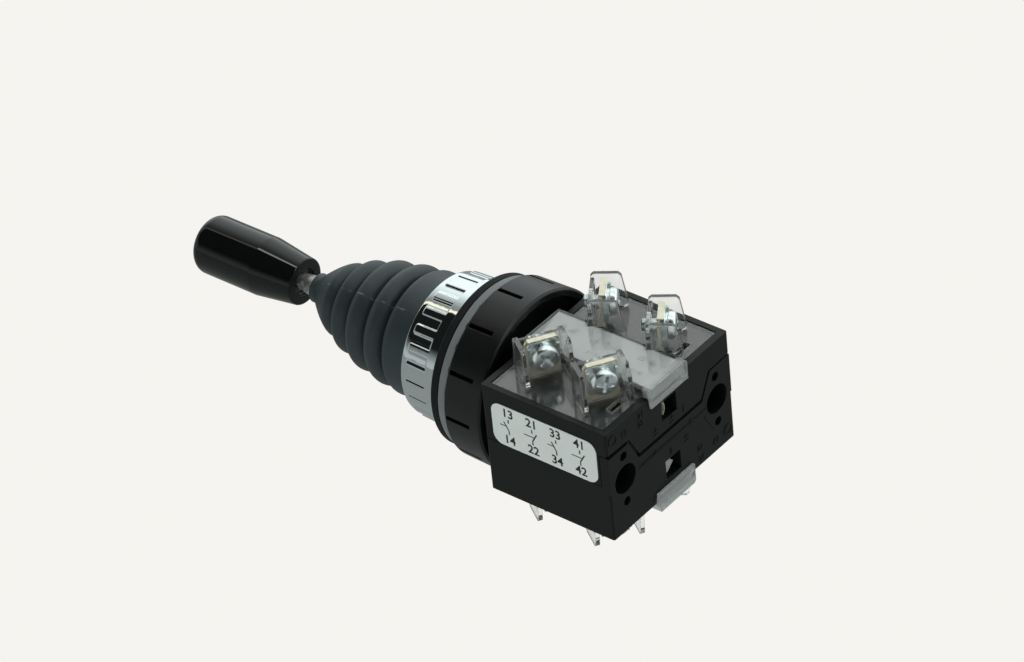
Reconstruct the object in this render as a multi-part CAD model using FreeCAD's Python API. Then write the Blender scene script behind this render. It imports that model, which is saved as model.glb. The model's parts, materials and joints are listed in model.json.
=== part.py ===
# Two-axis spring-return panel joystick for a 30 mm panel hole.
# Units are millimetres. The lever axis is Y. The operator stands on the -Y side.
# The origin is on the lever axis at the front face of the panel.
# +Z is up and +X is the side that carries the rating label.
import FreeCAD
import Part
import math
import os

V = FreeCAD.Vector
ORIGIN = V(0, 0, 0)
X_AXIS = V(1, 0, 0)
Y_AXIS = V(0, 1, 0)
Z_AXIS = V(0, 0, 1)

# Clearances
fit = 0.05              # on pins, bores and faces that meet
running = 0.3           # round a moving piece
soft_gap = 0.3          # beside the rubber bellows
seat_gap = 0.1          # at the ends of the springs and under the label card
parting_gap = 0.2       # open line between the two block halves
over = 1.0              # how far a cutter runs past the face that it opens

# Grip with its moulded-in insert
grip_r = 8.46
grip_neck_r = 6.8
grip_length = 34.9
grip_face = -66.3
grip_end_fillet = 3.2
grip_taper_length = 13.3
grip_face_round = 0.5
grip_recess_r = 3.9
grip_recess_depth = 1.1
insert_r = 4.2
insert_length = 16.0
insert_cover = 0.5      # plastic between the recess and the insert

# Lever rod
rod_r = 2.4
rod_collar_r = 2.85
rod_flare_length = 2.7
rod_collar_margin = 0.5
rod_tail = 0.4

# Pivot hub, gimbal ring and their pins
hub_r = 5.6
hub_half = 4.2
hub_chamfer = 0.7
pin_r = 1.25
gimbal_inner_r = 6.4
gimbal_outer_r = 9.0
gimbal_half = 2.2
pin_end_gap = 0.4

# Actuator disc and its nut
disc_r = 11.0
disc_thickness = 2.5
disc_chamfer = 0.7
disc_back = 7.5
disc_boss_wall = 2.2
disc_nut_r = 4.0
disc_nut_height = 2.4

# Plungers: up and down lie on the Z axis, left and right on the X axis
plunger_offset = 9.6
plunger_r = 1.6
plunger_tip_length = 1.2
plunger_tip_r = 0.7
plunger_head_gap = 0.8
plunger_end_gap = 3.4
collar_r = 3.4
collar_length = 2.0
clip_length = 1.6
spring_inner_r = 2.9
spring_wire = 0.6
spring_turns = 4
coil_facets = 8
centering_spring_r = 5.2
centering_spring_wire = 0.8
centering_spring_turns = 2

# Contact bridges on the plungers
bridge_offset = 15.2
bridge_half_width = 1.7
bridge_gap = 1.4        # between the ends of a bridge and the sides of its neighbours
bridge_thickness = 0.8
button_r = 1.3
button_height = 0.7
button_inset = 1.5

# Mounting body: a flange in front of the panel and a threaded barrel through it
barrel_r = 15.0
barrel_wall = 2.0
barrel_recess = 1.5
flange_r = 19.0
flange_height = 7.05
gasket_thickness = 2.45
gasket_r = 24.2
gasket_chamfer = 0.4

# Bezel ring
bezel_length = 13.45
bezel_wall_front = 1.6
bezel_wall_rear = 1.75
bezel_edge = 0.5
bezel_lip_height = 1.4
bezel_lip = 0.55
bezel_teeth = 24
tooth_phase = -1.35     # angle of the first tooth from the top, in degrees
tooth_width = 2.45
tooth_corner = 0.6
tooth_height = 0.36
tooth_depth = 0.7
tooth_front_margin = 2.3
band_length = 3.15
band_height = 0.4
mouth_gap = 0.7

# Bellows: crest radii from the collar to the skirt, and the places of the crests
# as shares of the way from the skirt crest to the collar
bare_rod = 4.7
sleeve_r = 4.18
sleeve_length = 2.1
bellows_wall = 1.0
crest_r = [10.5, 13.3, 15.7, 17.1, 17.7]
crest_place = [0.768, 0.597, 0.394, 0.182, 0.0]
crest_land = 1.0
valley_depth = 2.9
shoulder_r = 7.85
shoulder_place = 0.884
skirt_offset = 7.3
skirt_shrink = 0.5
bead_thickness = 2.0
bead_step = 0.3

# Anti-rotation washer and locking nut
washer_gap = 0.3
washer_thickness = 2.5
washer_r = 24.2
washer_notches = 24
notch_half_width = 0.7
notch_depth = 0.6
notch_height = 0.45
nut_gap = 0.2
nut_height = 12.5
nut_front_r = 25.5
nut_rear_r = 25.85
nut_edge = 0.6
nut_slots = 12
slot_width = 1.3
slot_depth = 1.6
slot_start = 0.9
slot_length = 8.0
nut_rim = 2.25
nut_dish_depth = 2.0
nut_dish_slope = 1.0

# Adapter between the barrel and the contact block
adapter_gap = 0.2
adapter_thickness = 2.1
adapter_half_x = 23.5
adapter_half_z = 11.5
adapter_corner = 5.0
boss_depth = 2.2

# Contact block
block_length = 40.6
block_half_x = 26.0
block_half_z = 17.17
seam_z = -0.4
edge_round = 0.6
rim = 1.85
rim_rear = 2.2
cover_seat_depth = 1.6
block_wall = 2.3
chamber_half_x = 14.3
roof = 3.27
rear_plate = 2.6
tunnel_x = 19.6
tunnel_z = -0.9
tunnel_r = 4.3
tunnel_floor = 2.4
head_pocket_gap = 0.3
head_pocket_margin = 0.5
ear_top = 9.7
ear_slope = 0.2
ear_inner_x = 17.6
ear_foot_x = 13.6
ear_foot_z = 2.1
ear_root = 2.0
pilot_r = 1.35
pilot_pitch = 7.35
pilot_depth = 3.5
window_half_x = 3.15
window_half_z = 3.0
parting_width = 0.6
parting_depth = 0.5
groove_left = -15.8
groove_right = 13.9
groove_z = -1.37
groove_width = 0.35
groove_depth = 0.35

# Terminals, each drawn on its own axes: x across the strip and y along the screw
term_x = 12.7
term_front_margin = 10.4
term_pitch = 19.0
term_turn = 33.5
strip_width = 9.3
strip_thickness = 0.8
strip_rise = 10.53
strip_corner = 0.8
strip_foot = 2.4
screw_rise = 6.23
screw_shank_r = 1.75
screw_head_r = 3.5
screw_head_height = 2.4
screw_head_chamfer = 0.9
screw_length = 7.05
clamp_half = 4.2
clamp_corner = 0.9
clamp_thickness = 1.0
clamp_ear = 0.75
clamp_ear_height = 0.7
clamp_ear_inset = 1.2
washer_ring_r = 3.3
washer_ring_height = 0.7

# Clear covers
cover_drop = 0.3
cover_thickness = 1.2
cover_gap = 0.1
cover_bite = 0.2
guard_rise = 11.13
guard_half = 6.2
guard_wall = 1.2
guard_back = -3.3
guard_lean_back = 0.4
guard_corner = 0.8
guard_front_top = 4.8
guard_front_low = 6.1
guard_bend_rise = 1.93
guard_foot_rise = 0.9
guard_foot_step = 1.6
guard_back_wall = 1.0
guard_back_drop = 1.2
guard_hole_gap = 0.8
bar_half_x = 7.75
bar_rise = 3.33
bar_wall = 1.0
bar_edge = 0.6
bar_floor = 0.8
bar_end_wall = 0.4
tab_drop = 6.0
tab_thickness = 0.8
latch_x = 14.1
latch_rear_margin = 5.9
latch_half_x = 2.6
latch_half_y = 1.0
card_thickness = 0.35
card_gap = 0.2
card_inset = 0.4

# Rating label
label_front_margin = 2.8
label_length = 34.3
label_high = 13.0
label_corner = 3.0
label_thickness = 0.15

# Fixing screws of the contact block
fixing_shank_r = 2.0
fixing_head_r = 3.5
fixing_head_height = 2.6
fixing_slot = 1.0
fixing_slot_depth = 1.2

# Stations along the axis, from the panel to the rear
washer_front = washer_gap
washer_rear = washer_front + washer_thickness
nut_front = washer_rear + nut_gap
nut_rear = nut_front + nut_height
adapter_front = nut_rear + adapter_gap
block_front = adapter_front + adapter_thickness
block_rear = block_front + block_length
chamber_rear = block_rear - rear_plate
tunnel_front = block_front + tunnel_floor + fixing_head_height + head_pocket_margin
barrel_end = nut_rear - barrel_recess
barrel_bore_r = barrel_r - barrel_wall
boss_front = barrel_end - boss_depth

# Stations from the panel to the front
flange_rear = -gasket_thickness
flange_front = flange_rear - flange_height
bezel_front = flange_rear - bezel_length
bezel_front_r = flange_r + fit + bezel_wall_front - bezel_edge
bezel_rear_r = flange_r + fit + bezel_wall_rear
lip_front = flange_rear - bezel_lip_height
band_front = lip_front - band_length
bezel_slope = (bezel_rear_r - bezel_front_r) / (lip_front - bezel_front)
bead_rear = flange_front - soft_gap
bead_front = bead_rear - bead_thickness
mouth_r = crest_r[-1] + mouth_gap
bead_r = mouth_r + bead_step
skirt_crest_y = bezel_front - skirt_offset
sleeve_front = grip_face + bare_rod
sleeve_rear = sleeve_front + sleeve_length
sleeve_bore = rod_collar_r + soft_gap
insert_rear = grip_face - grip_recess_depth - insert_cover

# Heights above the lever axis
chamber_top = block_half_z - roof
cover_top = block_half_z - cover_drop
cover_low = cover_top - cover_thickness
screw_z = block_half_z + screw_rise
strip_top = block_half_z + strip_rise
strip_bottom = chamber_top - strip_foot
guard_top = cover_top + guard_rise
bar_top = cover_top + bar_rise

# Moving train
disc_front = disc_back - disc_thickness
plunger_tip = disc_back + plunger_head_gap
bridge_half_length = plunger_offset - bridge_half_width - bridge_gap
bridge_y = block_front + bridge_offset
collar_front = bridge_y + bridge_thickness + running
collar_rear = collar_front + collar_length

# Terminals and the screws on them
term_first_y = block_front + term_front_margin
clamp_low = strip_thickness / 2 + fit
clamp_top = clamp_low + clamp_thickness
head_seat = clamp_top + washer_ring_height + fit


def box(x0, x1, y0, y1, z0, z1):
    """A block between two corners."""
    return Part.makeBox(x1 - x0, y1 - y0, z1 - z0, V(x0, y0, z0))


def rod_y(radius, y0, y1, x=0.0, z=0.0):
    """A cylinder along Y."""
    return Part.makeCylinder(radius, y1 - y0, V(x, y0, z), Y_AXIS)


def revolve(edges):
    """A solid of revolution about Y from edges drawn in the plane x = radius."""
    face = Part.Face(Part.Wire(edges))
    return face.revolve(ORIGIN, Y_AXIS, 360)


def outline(points):
    """Straight edges through (radius, y) points, closed."""
    ring = [V(r, y, 0) for r, y in points]
    return Part.makePolygon(ring + ring[:1]).Edges


def turned(points):
    """A revolved solid from a closed polygon of (radius, y) points."""
    return revolve(outline(points))


def prism(points, y0, y1):
    """A plate along Y with a polygon of (x, z) points as its outline."""
    ring = [V(x, y0, z) for x, z in points]
    face = Part.Face(Part.makePolygon(ring + ring[:1]))
    return face.extrude(V(0, y1 - y0, 0))


def hexagon(radius, y0, y1):
    """A hexagon nut with a clearance bore for the lever rod."""
    corners = []
    for n in range(6):
        angle = math.radians(60 * n)
        corners.append((radius * math.cos(angle), radius * math.sin(angle)))
    return prism(corners, y0, y1).cut(rod_y(rod_r + fit, y0 - over, y1 + over))


def around(shape, angle):
    """A copy turned about the lever axis."""
    copy = shape.copy()
    copy.rotate(ORIGIN, Y_AXIS, angle)
    return copy


def group(solids):
    """Separate solids kept in one node."""
    return Part.makeCompound(solids)


def flipped(shape):
    """The same piece of the lower half, mirrored through the plane z = 0."""
    return shape.mirror(ORIGIN, Z_AXIS)


def mirrored(shape):
    """The same piece on the other side, mirrored through the plane x = 0."""
    return shape.mirror(ORIGIN, X_AXIS)


def edges_along(shape, direction):
    """The straight edges of a shape that run along a direction."""
    found = []
    for edge in shape.Edges:
        span = edge.Vertexes[-1].Point.sub(edge.Vertexes[0].Point)
        if span.Length > 0 and abs(abs(span.normalize().dot(direction)) - 1) < 1e-6:
            found.append(edge)
    return found


def grip():
    """Turned plastic grip with a rounded end and a tapered neck."""
    diagonal = math.sqrt(0.5)
    bore_r = rod_r + fit
    pocket_r = insert_r + fit
    recess_y = grip_face - grip_recess_depth
    pocket_y = insert_rear
    pocket_end = pocket_y - insert_length
    end = grip_face - grip_length
    shoulder = end + grip_end_fillet
    neck = grip_face - grip_face_round
    end_mid = V(grip_r - grip_end_fillet * (1 - diagonal), end + grip_end_fillet * (1 - diagonal), 0)
    face_mid = V(grip_neck_r - grip_face_round * (1 - diagonal),
                 grip_face - grip_face_round * (1 - diagonal), 0)
    top = V(grip_r - grip_end_fillet, end, 0)
    side = V(grip_r, shoulder, 0)
    neck_side = V(grip_neck_r, neck, 0)
    neck_face = V(grip_neck_r - grip_face_round, grip_face, 0)
    straight = [neck_face, V(grip_recess_r, grip_face, 0), V(grip_recess_r, recess_y, 0),
                V(bore_r, recess_y, 0), V(bore_r, pocket_y, 0), V(pocket_r, pocket_y, 0),
                V(pocket_r, pocket_end, 0), V(0, pocket_end, 0), V(0, end, 0), top]
    edges = [Part.Arc(top, end_mid, side).toShape(),
             Part.makeLine(side, V(grip_r, grip_face - grip_taper_length, 0)),
             Part.makeLine(V(grip_r, grip_face - grip_taper_length, 0), neck_side),
             Part.Arc(neck_side, face_mid, neck_face).toShape()]
    return revolve(edges + Part.makePolygon(straight).Edges)


def grip_insert():
    """Threaded brass insert moulded into the grip."""
    rear = insert_rear - fit
    front = insert_rear - insert_length + fit
    return turned([(rod_r + fit, front), (insert_r, front), (insert_r, rear), (rod_r + fit, rear)])


def lever_rod():
    """Steel rod from the grip to the tail, with the collar that the bellows grips."""
    front = insert_rear - insert_length + fit
    flare = grip_face + rod_flare_length
    collar_end = sleeve_rear + rod_collar_margin
    tail = disc_back + fit + disc_nut_height + rod_tail
    return turned([(0, front), (rod_r, front), (rod_r, grip_face), (rod_collar_r, flare),
                   (rod_collar_r, collar_end), (rod_r, collar_end), (rod_r, tail), (0, tail)])


def pivot_hub():
    """Hub on the rod, carried on the vertical pins."""
    body = turned([(rod_r + fit, -hub_half), (hub_r - hub_chamfer, -hub_half),
                   (hub_r, -hub_half + hub_chamfer), (hub_r, hub_half - hub_chamfer),
                   (hub_r - hub_chamfer, hub_half), (rod_r + fit, hub_half)])
    span = hub_r + over
    return body.cut(Part.makeCylinder(pin_r + fit, 2 * span, V(0, 0, -span), Z_AXIS))


def gimbal_ring():
    """Ring between the two hinge axes."""
    ring = turned([(gimbal_inner_r, -gimbal_half), (gimbal_outer_r, -gimbal_half),
                   (gimbal_outer_r, gimbal_half), (gimbal_inner_r, gimbal_half)])
    span = gimbal_outer_r + over
    along_z = Part.makeCylinder(pin_r + fit, 2 * span, V(0, 0, -span), Z_AXIS)
    along_x = Part.makeCylinder(pin_r + fit, 2 * span, V(-span, 0, 0), X_AXIS)
    return ring.cut(along_z).cut(along_x)


def hub_pins():
    """Two vertical pins, fixed in the ring, that the hub turns on."""
    inner = rod_r + pin_end_gap
    length = gimbal_outer_r - fit - inner
    pin = Part.makeCylinder(pin_r, length, V(0, 0, inner), Z_AXIS)
    return group([pin, flipped(pin)])


def gimbal_pins():
    """Two cross pins, fixed in the barrel wall, that the ring turns on."""
    inner = gimbal_inner_r + fit
    length = barrel_r - pin_end_gap - inner
    pin = Part.makeCylinder(pin_r, length, V(inner, 0, 0), X_AXIS)
    return group([pin, mirrored(pin)])


def actuator_disc():
    """Disc on the lever tail that pushes the four plungers, with a boss against the hub."""
    bore = rod_r + fit
    boss_r = bore + disc_boss_wall
    boss_end = hub_half + fit
    return turned([(bore, boss_end), (boss_r, boss_end), (boss_r, disc_front),
                   (disc_r - disc_chamfer, disc_front), (disc_r, disc_front + disc_chamfer),
                   (disc_r, disc_back - disc_chamfer), (disc_r - disc_chamfer, disc_back),
                   (bore, disc_back)])


def disc_nut():
    """Hexagon nut that holds the disc on the tail."""
    return hexagon(disc_nut_r, disc_back + fit, disc_back + fit + disc_nut_height)


def mounting_body():
    """Flange in front of the panel and the barrel that carries the nut."""
    body = turned([(barrel_bore_r, flange_front), (flange_r, flange_front),
                   (flange_r, flange_rear), (barrel_r, flange_rear),
                   (barrel_r, barrel_end), (barrel_bore_r, barrel_end)])
    span = barrel_r + over
    return body.cut(Part.makeCylinder(pin_r + fit, 2 * span, V(-span, 0, 0), X_AXIS))


def bezel_tooth():
    """One raised tooth on the cone of the bezel, running into its raised band, on the +Z side."""
    length = band_front + band_height - bezel_front - tooth_front_margin
    tooth = box(-tooth_width / 2, tooth_width / 2, 0, length, -tooth_depth, tooth_height)
    front_corners = [e for e in edges_along(tooth, Z_AXIS) if e.CenterOfMass.y < tooth_corner]
    tooth = tooth.makeChamfer(tooth_corner, front_corners)
    tooth.rotate(ORIGIN, X_AXIS, math.degrees(math.atan(bezel_slope)))
    tooth.translate(V(0, bezel_front + tooth_front_margin, bezel_front_r + bezel_slope * tooth_front_margin))
    return tooth


def bezel_ring():
    """Conical bright ring with teeth that point forward from a raised band, and a smooth rear lip."""
    rear = flange_rear - fit
    lip_r = bezel_rear_r + bezel_lip
    inner_r = flange_r + fit
    shoulder = bead_front - soft_gap
    band_r = bezel_front_r + bezel_slope * (band_front - bezel_front)
    ring = turned([(mouth_r, bezel_front), (bezel_front_r - bezel_edge, bezel_front),
                   (bezel_front_r, bezel_front + bezel_edge), (band_r, band_front),
                   (band_r + band_height, band_front), (bezel_rear_r + band_height, lip_front),
                   (lip_r, lip_front), (lip_r, rear), (inner_r, rear), (inner_r, shoulder),
                   (mouth_r, shoulder)])
    return ring.fuse([around(bezel_tooth(), tooth_phase + 360.0 * n / bezel_teeth)
                      for n in range(bezel_teeth)])


def fold_profile(inset):
    """Points of the bellows wall from the sleeve to the skirt crest, moved inward by an inset."""
    reach = sleeve_rear - skirt_crest_y
    points = [(shoulder_r - inset, skirt_crest_y + shoulder_place * reach)]
    for n, place in enumerate(crest_place):
        y = skirt_crest_y + place * reach
        r = crest_r[n] - inset
        points += [(r, y - crest_land / 2), (r, y + crest_land / 2)]
        if n + 1 < len(crest_place):
            valley_r = (crest_r[n] + crest_r[n + 1]) / 2 - valley_depth - inset
            points.append((valley_r, y + (crest_place[n + 1] - place) * reach / 2))
    return points


def bellows():
    """Rubber bellows, clamped on the rod collar at the front and under the bezel at the rear."""
    skirt_r = crest_r[-1] - skirt_shrink
    outer = [(sleeve_r, sleeve_front), (sleeve_r, sleeve_rear)] + fold_profile(0.0)
    outer += [(skirt_r, bead_front), (bead_r, bead_front), (bead_r, bead_rear)]
    inner = [(sleeve_bore, sleeve_front), (sleeve_bore, sleeve_rear + bellows_wall)]
    inner += fold_profile(bellows_wall) + [(skirt_r - bellows_wall, bead_rear)]
    return turned(outer + inner[::-1])


def panel_gasket():
    """Rubber gasket between the flange and the panel."""
    bore = barrel_r + fit
    return turned([(bore, flange_rear), (gasket_r - gasket_chamfer, flange_rear),
                   (gasket_r, flange_rear + gasket_chamfer), (gasket_r, 0), (bore, 0)])


def anti_rotation_washer():
    """Grey washer behind the panel, notched along its rear edge."""
    bore = barrel_r + fit
    ring = turned([(bore, washer_front), (washer_r, washer_front), (washer_r, washer_rear),
                   (bore, washer_rear)])
    notch = box(-notch_half_width, notch_half_width, washer_rear - notch_height, washer_rear + over,
                washer_r - notch_depth, washer_r + over)
    return ring.cut([around(notch, 360.0 * n / washer_notches) for n in range(washer_notches)])


def locking_nut():
    """Large ring nut with spanner slots in its front half and a dished rear face."""
    bore = barrel_r + fit
    dish_r = nut_rear_r - nut_rim
    floor = nut_rear - nut_dish_depth
    nut = turned([(bore, nut_front), (nut_front_r - nut_edge, nut_front),
                  (nut_front_r, nut_front + nut_edge), (nut_rear_r, nut_rear - nut_edge),
                  (nut_rear_r - nut_edge, nut_rear), (dish_r, nut_rear),
                  (dish_r - nut_dish_slope, floor), (bore, floor)])
    low = nut_front + slot_start
    slot = box(-slot_width / 2, slot_width / 2, low, low + slot_length,
               nut_front_r - slot_depth, nut_rear_r + over)
    return nut.cut([around(slot, 360.0 * n / nut_slots) for n in range(nut_slots)])


def plunger_places():
    """Name, x and z of the four plungers."""
    return [("up", 0.0, plunger_offset), ("down", 0.0, -plunger_offset),
            ("left", -plunger_offset, 0.0), ("right", plunger_offset, 0.0)]


def adapter_plate():
    """Plate between nut and block; its boss closes the barrel and guides the plungers."""
    plate = box(-adapter_half_x, adapter_half_x, adapter_front, block_front - fit,
                -adapter_half_z, adapter_half_z)
    plate = plate.makeFillet(adapter_corner, edges_along(plate, Y_AXIS))
    boss_r = barrel_bore_r - fit
    step = barrel_end + fit
    rear = block_front - fit
    boss = turned([(0, boss_front), (boss_r, boss_front), (boss_r, step), (barrel_r, step),
                   (barrel_r, rear), (0, rear)])
    body = plate.fuse(boss).removeSplitter()
    holes = [rod_y(plunger_r + running, boss_front - over, block_front + over, x, z)
             for _, x, z in plunger_places()]
    for side in (-1, 1):
        holes.append(rod_y(fixing_shank_r + fit, adapter_front - over, block_front + over,
                           side * tunnel_x, tunnel_z))
    return body.cut(holes)


def ear_outline(extra):
    """Outline of the rear plate of the lower half above the seam, wider by extra."""
    foot = ear_foot_z + extra
    top = ear_top + extra
    inner = ear_inner_x - extra
    corner = ear_foot_x - extra
    root = seam_z - ear_root
    return [(block_half_x, root), (block_half_x, top), (inner, top - ear_slope), (corner, foot),
            (-corner, foot), (-inner, top - ear_slope), (-block_half_x, top), (-block_half_x, root)]


def at_terminal(shape, side, row):
    """Place a piece drawn at a terminal's own axes."""
    copy = shape.copy()
    copy.rotate(ORIGIN, Z_AXIS, -term_turn)
    copy.translate(V(term_x, term_first_y + row * term_pitch, 0))
    return mirrored(copy) if side < 0 else copy


def on_terminals(shape):
    """Four copies of a piece, one at each terminal of a half."""
    return [at_terminal(shape, side, row) for side in (-1, 1) for row in (0, 1)]


def strip_slots(gap, low):
    """Slots that the terminal strips pass through, from a height up."""
    half = strip_width / 2 + gap
    side = strip_thickness / 2 + gap
    return on_terminals(box(-half, half, -side, side, low, block_half_z + over))


def bar_notch(y0, y1):
    """Notch in the rim of a half where the label bar of the cover passes."""
    half = bar_half_x + running
    return box(-half, half, y0, y1, block_half_z - cover_seat_depth, block_half_z + over)


def half_shell(low):
    """Outer body of one half with its chamber and the seat of its cover."""
    body = box(-block_half_x, block_half_x, block_front, block_rear, low, block_half_z)
    body = body.makeFillet(edge_round, edges_along(body, Z_AXIS))
    chamber = box(-chamber_half_x, chamber_half_x, block_front + block_wall, chamber_rear,
                  low - over, chamber_top)
    seat = box(-block_half_x + rim, block_half_x - rim, block_front + rim, block_rear - rim_rear,
               block_half_z - cover_seat_depth, block_half_z + over)
    window = box(-window_half_x, window_half_x, chamber_rear - over, block_rear + over,
                 plunger_offset - window_half_z, plunger_offset + window_half_z)
    notches = [bar_notch(block_front - over, block_front + rim + over),
               bar_notch(block_rear - rim_rear - over, block_rear + over)]
    slots = strip_slots(fit, strip_bottom - seat_gap)
    return body.cut([chamber, seat, window] + notches + slots)


def drilled(body):
    """Tunnels, screw holes, pilot holes and plunger holes through one half."""
    floor = block_front + tunnel_floor
    holes = []
    for side in (-1, 1):
        x = side * tunnel_x
        holes.append(rod_y(tunnel_r, tunnel_front, block_rear + over, x, tunnel_z))
        holes.append(rod_y(fixing_head_r + head_pocket_gap, floor, tunnel_front + over, x, tunnel_z))
        holes.append(rod_y(fixing_shank_r + fit, block_front - over, floor + over, x, tunnel_z))
        for step in (-pilot_pitch, pilot_pitch):
            holes.append(rod_y(pilot_r, block_rear - pilot_depth, block_rear + over,
                               x, tunnel_z + step))
    for _, x, z in plunger_places():
        holes.append(rod_y(plunger_r + running, block_front - over,
                           block_front + block_wall + over, x, z))
    return body.cut(holes)


def upper_half():
    """Upper half of the contact block, notched for the ears of the lower half."""
    body = half_shell(seam_z + parting_gap)
    notch = prism(ear_outline(parting_gap), chamber_rear - parting_gap, block_rear + over)
    groove = prism(ear_outline(parting_width), block_rear - parting_depth, block_rear + over)
    return drilled(body.cut([notch, groove]))


def lower_half():
    """Lower half of the contact block with the tall rear plate."""
    body = flipped(half_shell(-seam_z))
    ears = prism(ear_outline(0.0), chamber_rear, block_rear)
    body = body.fuse(ears).removeSplitter()
    groove = box(groove_left, groove_right, block_rear - groove_depth, block_rear + over,
                 groove_z - groove_width / 2, groove_z + groove_width / 2)
    return drilled(body.cut(groove))


def terminal_strip():
    """Contact strip that stands up through the roof, drilled for its screw."""
    half = strip_width / 2
    side = strip_thickness / 2
    strip = box(-half, half, -side, side, strip_bottom, strip_top)
    top_corners = [e for e in edges_along(strip, Y_AXIS) if e.CenterOfMass.z > screw_z]
    strip = strip.makeChamfer(strip_corner, top_corners)
    return strip.cut(rod_y(screw_shank_r + fit, -side - over, side + over, 0, screw_z))


def clamp_plate():
    """Square clamp plate with turned-up ears, and the spring washer on it."""
    plate = box(-clamp_half, clamp_half, clamp_low, clamp_top,
                screw_z - clamp_half, screw_z + clamp_half)
    plate = plate.makeChamfer(clamp_corner, edges_along(plate, Y_AXIS))
    ear_half = clamp_half - clamp_ear_inset
    ear = box(clamp_half - clamp_ear, clamp_half, clamp_low, clamp_top + clamp_ear_height,
              screw_z - ear_half, screw_z + ear_half)
    ring = rod_y(washer_ring_r, clamp_top, clamp_top + washer_ring_height, 0, screw_z)
    body = plate.fuse([ear, mirrored(ear), ring]).removeSplitter()
    return body.cut(rod_y(screw_shank_r + fit, clamp_low - over, head_seat + over, 0, screw_z))


def terminal_screw():
    """Pan head screw, seated on the clamp."""
    head_top = head_seat + screw_head_height
    side_top = head_top - screw_head_chamfer
    screw = turned([(0, head_seat - screw_length), (screw_shank_r, head_seat - screw_length),
                    (screw_shank_r, head_seat), (screw_head_r, head_seat),
                    (screw_head_r, side_top), (screw_head_r - screw_head_chamfer, head_top),
                    (0, head_top)])
    screw.translate(V(0, 0, screw_z))
    return screw


def guard():
    """Clear finger guard of one terminal: two side walls and a back wall."""
    low = cover_top - cover_bite
    foot_z = cover_top + guard_foot_rise
    points = [(guard_back - guard_lean_back, low), (guard_back, guard_top - guard_corner),
              (guard_back + guard_corner, guard_top), (guard_front_top - guard_corner, guard_top),
              (guard_front_top, guard_top - guard_corner),
              (guard_front_low, cover_top + guard_bend_rise), (guard_front_low, foot_z),
              (guard_front_low - guard_foot_step, low)]
    ring = [V(0, u, z) for u, z in points]
    wall = Part.Face(Part.makePolygon(ring + ring[:1])).extrude(V(guard_wall, 0, 0))
    wall.translate(V(guard_half - guard_wall / 2, 0, 0))
    back = box(-guard_half, guard_half, guard_back, guard_back + guard_back_wall, low,
               guard_top - guard_back_drop)
    hole_r = screw_shank_r + guard_hole_gap
    back = back.cut(rod_y(hole_r, guard_back - over, guard_back + guard_back_wall + over, 0, screw_z))
    return wall.fuse([mirrored(wall), back])


def cover_plate():
    """Flat plate of a clear cover, open over the latches and the strips."""
    half_x = block_half_x - rim - cover_gap
    plate = box(-half_x, half_x, block_front + rim + cover_gap, block_rear - rim_rear - cover_gap,
                cover_low, cover_top)
    latch_y = block_rear - latch_rear_margin
    latch = box(latch_x - latch_half_x, latch_x + latch_half_x, latch_y - latch_half_y,
                latch_y + latch_half_y, cover_low - over, cover_top + over)
    return plate.cut([latch, mirrored(latch)] + strip_slots(running, cover_low - over))


def clear_cover():
    """Clear cover of one half: a plate, the label bar with its rear tab, and four guards."""
    bar = box(-bar_half_x, bar_half_x, block_front, block_rear + tab_thickness, cover_low, bar_top)
    bar = bar.makeChamfer(bar_edge, [e for e in edges_along(bar, Y_AXIS) if e.CenterOfMass.z > cover_top])
    tab = box(-bar_half_x, bar_half_x, block_rear + fit, block_rear + tab_thickness,
              bar_top - tab_drop, cover_top)
    pocket = box(-bar_half_x + bar_wall, bar_half_x - bar_wall, block_front - over,
                 block_rear - bar_end_wall, cover_low + bar_floor, bar_top - bar_wall)
    cover = cover_plate().fuse([bar, tab] + on_terminals(guard()))
    return cover.cut(pocket)


def label_card():
    """Card in the pocket of the label bar."""
    half = bar_half_x - bar_wall - card_gap
    top = bar_top - bar_wall - seat_gap
    return box(-half, half, block_front + card_inset, block_rear - bar_end_wall - card_inset,
               top - card_thickness, top)


def side_label():
    """Thin label on the +X side of the upper half."""
    front = block_front + label_front_margin
    plate = box(block_half_x, block_half_x + label_thickness, front, front + label_length,
                seam_z + parting_gap, label_high)
    return plate.makeFillet(label_corner, edges_along(plate, X_AXIS))


def plunger(x, z):
    """Push rod with a tapered tip, a clip and a spring collar round the contact bridge."""
    shoulder = plunger_tip + plunger_tip_length
    clip_front = bridge_y - running - clip_length
    end = chamber_rear - plunger_end_gap
    rod = turned([(0, plunger_tip), (plunger_tip_r, plunger_tip), (plunger_r, shoulder),
                  (plunger_r, clip_front), (collar_r, clip_front), (collar_r, clip_front + clip_length),
                  (plunger_r, clip_front + clip_length), (plunger_r, collar_front),
                  (collar_r, collar_front), (collar_r, collar_rear), (plunger_r, collar_rear),
                  (plunger_r, end), (0, end)])
    rod.translate(V(x, 0, z))
    return rod


def contact_bridge(x, z):
    """Spring bridge with two buttons, carried across a plunger."""
    half = bridge_half_length
    bar = box(-half, half, bridge_y, bridge_y + bridge_thickness,
              -bridge_half_width, bridge_half_width)
    button = rod_y(button_r, bridge_y - button_height, bridge_y, half - button_inset)
    bore = rod_y(plunger_r + fit, bridge_y - over, bridge_y + bridge_thickness + over)
    bridge = bar.fuse([button, mirrored(button)]).cut(bore)
    if x != 0:
        bridge = around(bridge, 90)
    bridge.translate(V(x, 0, z))
    return bridge


def facet(points):
    """A flat face through points."""
    return Part.Face(Part.makePolygon(points + points[:1]))


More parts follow.
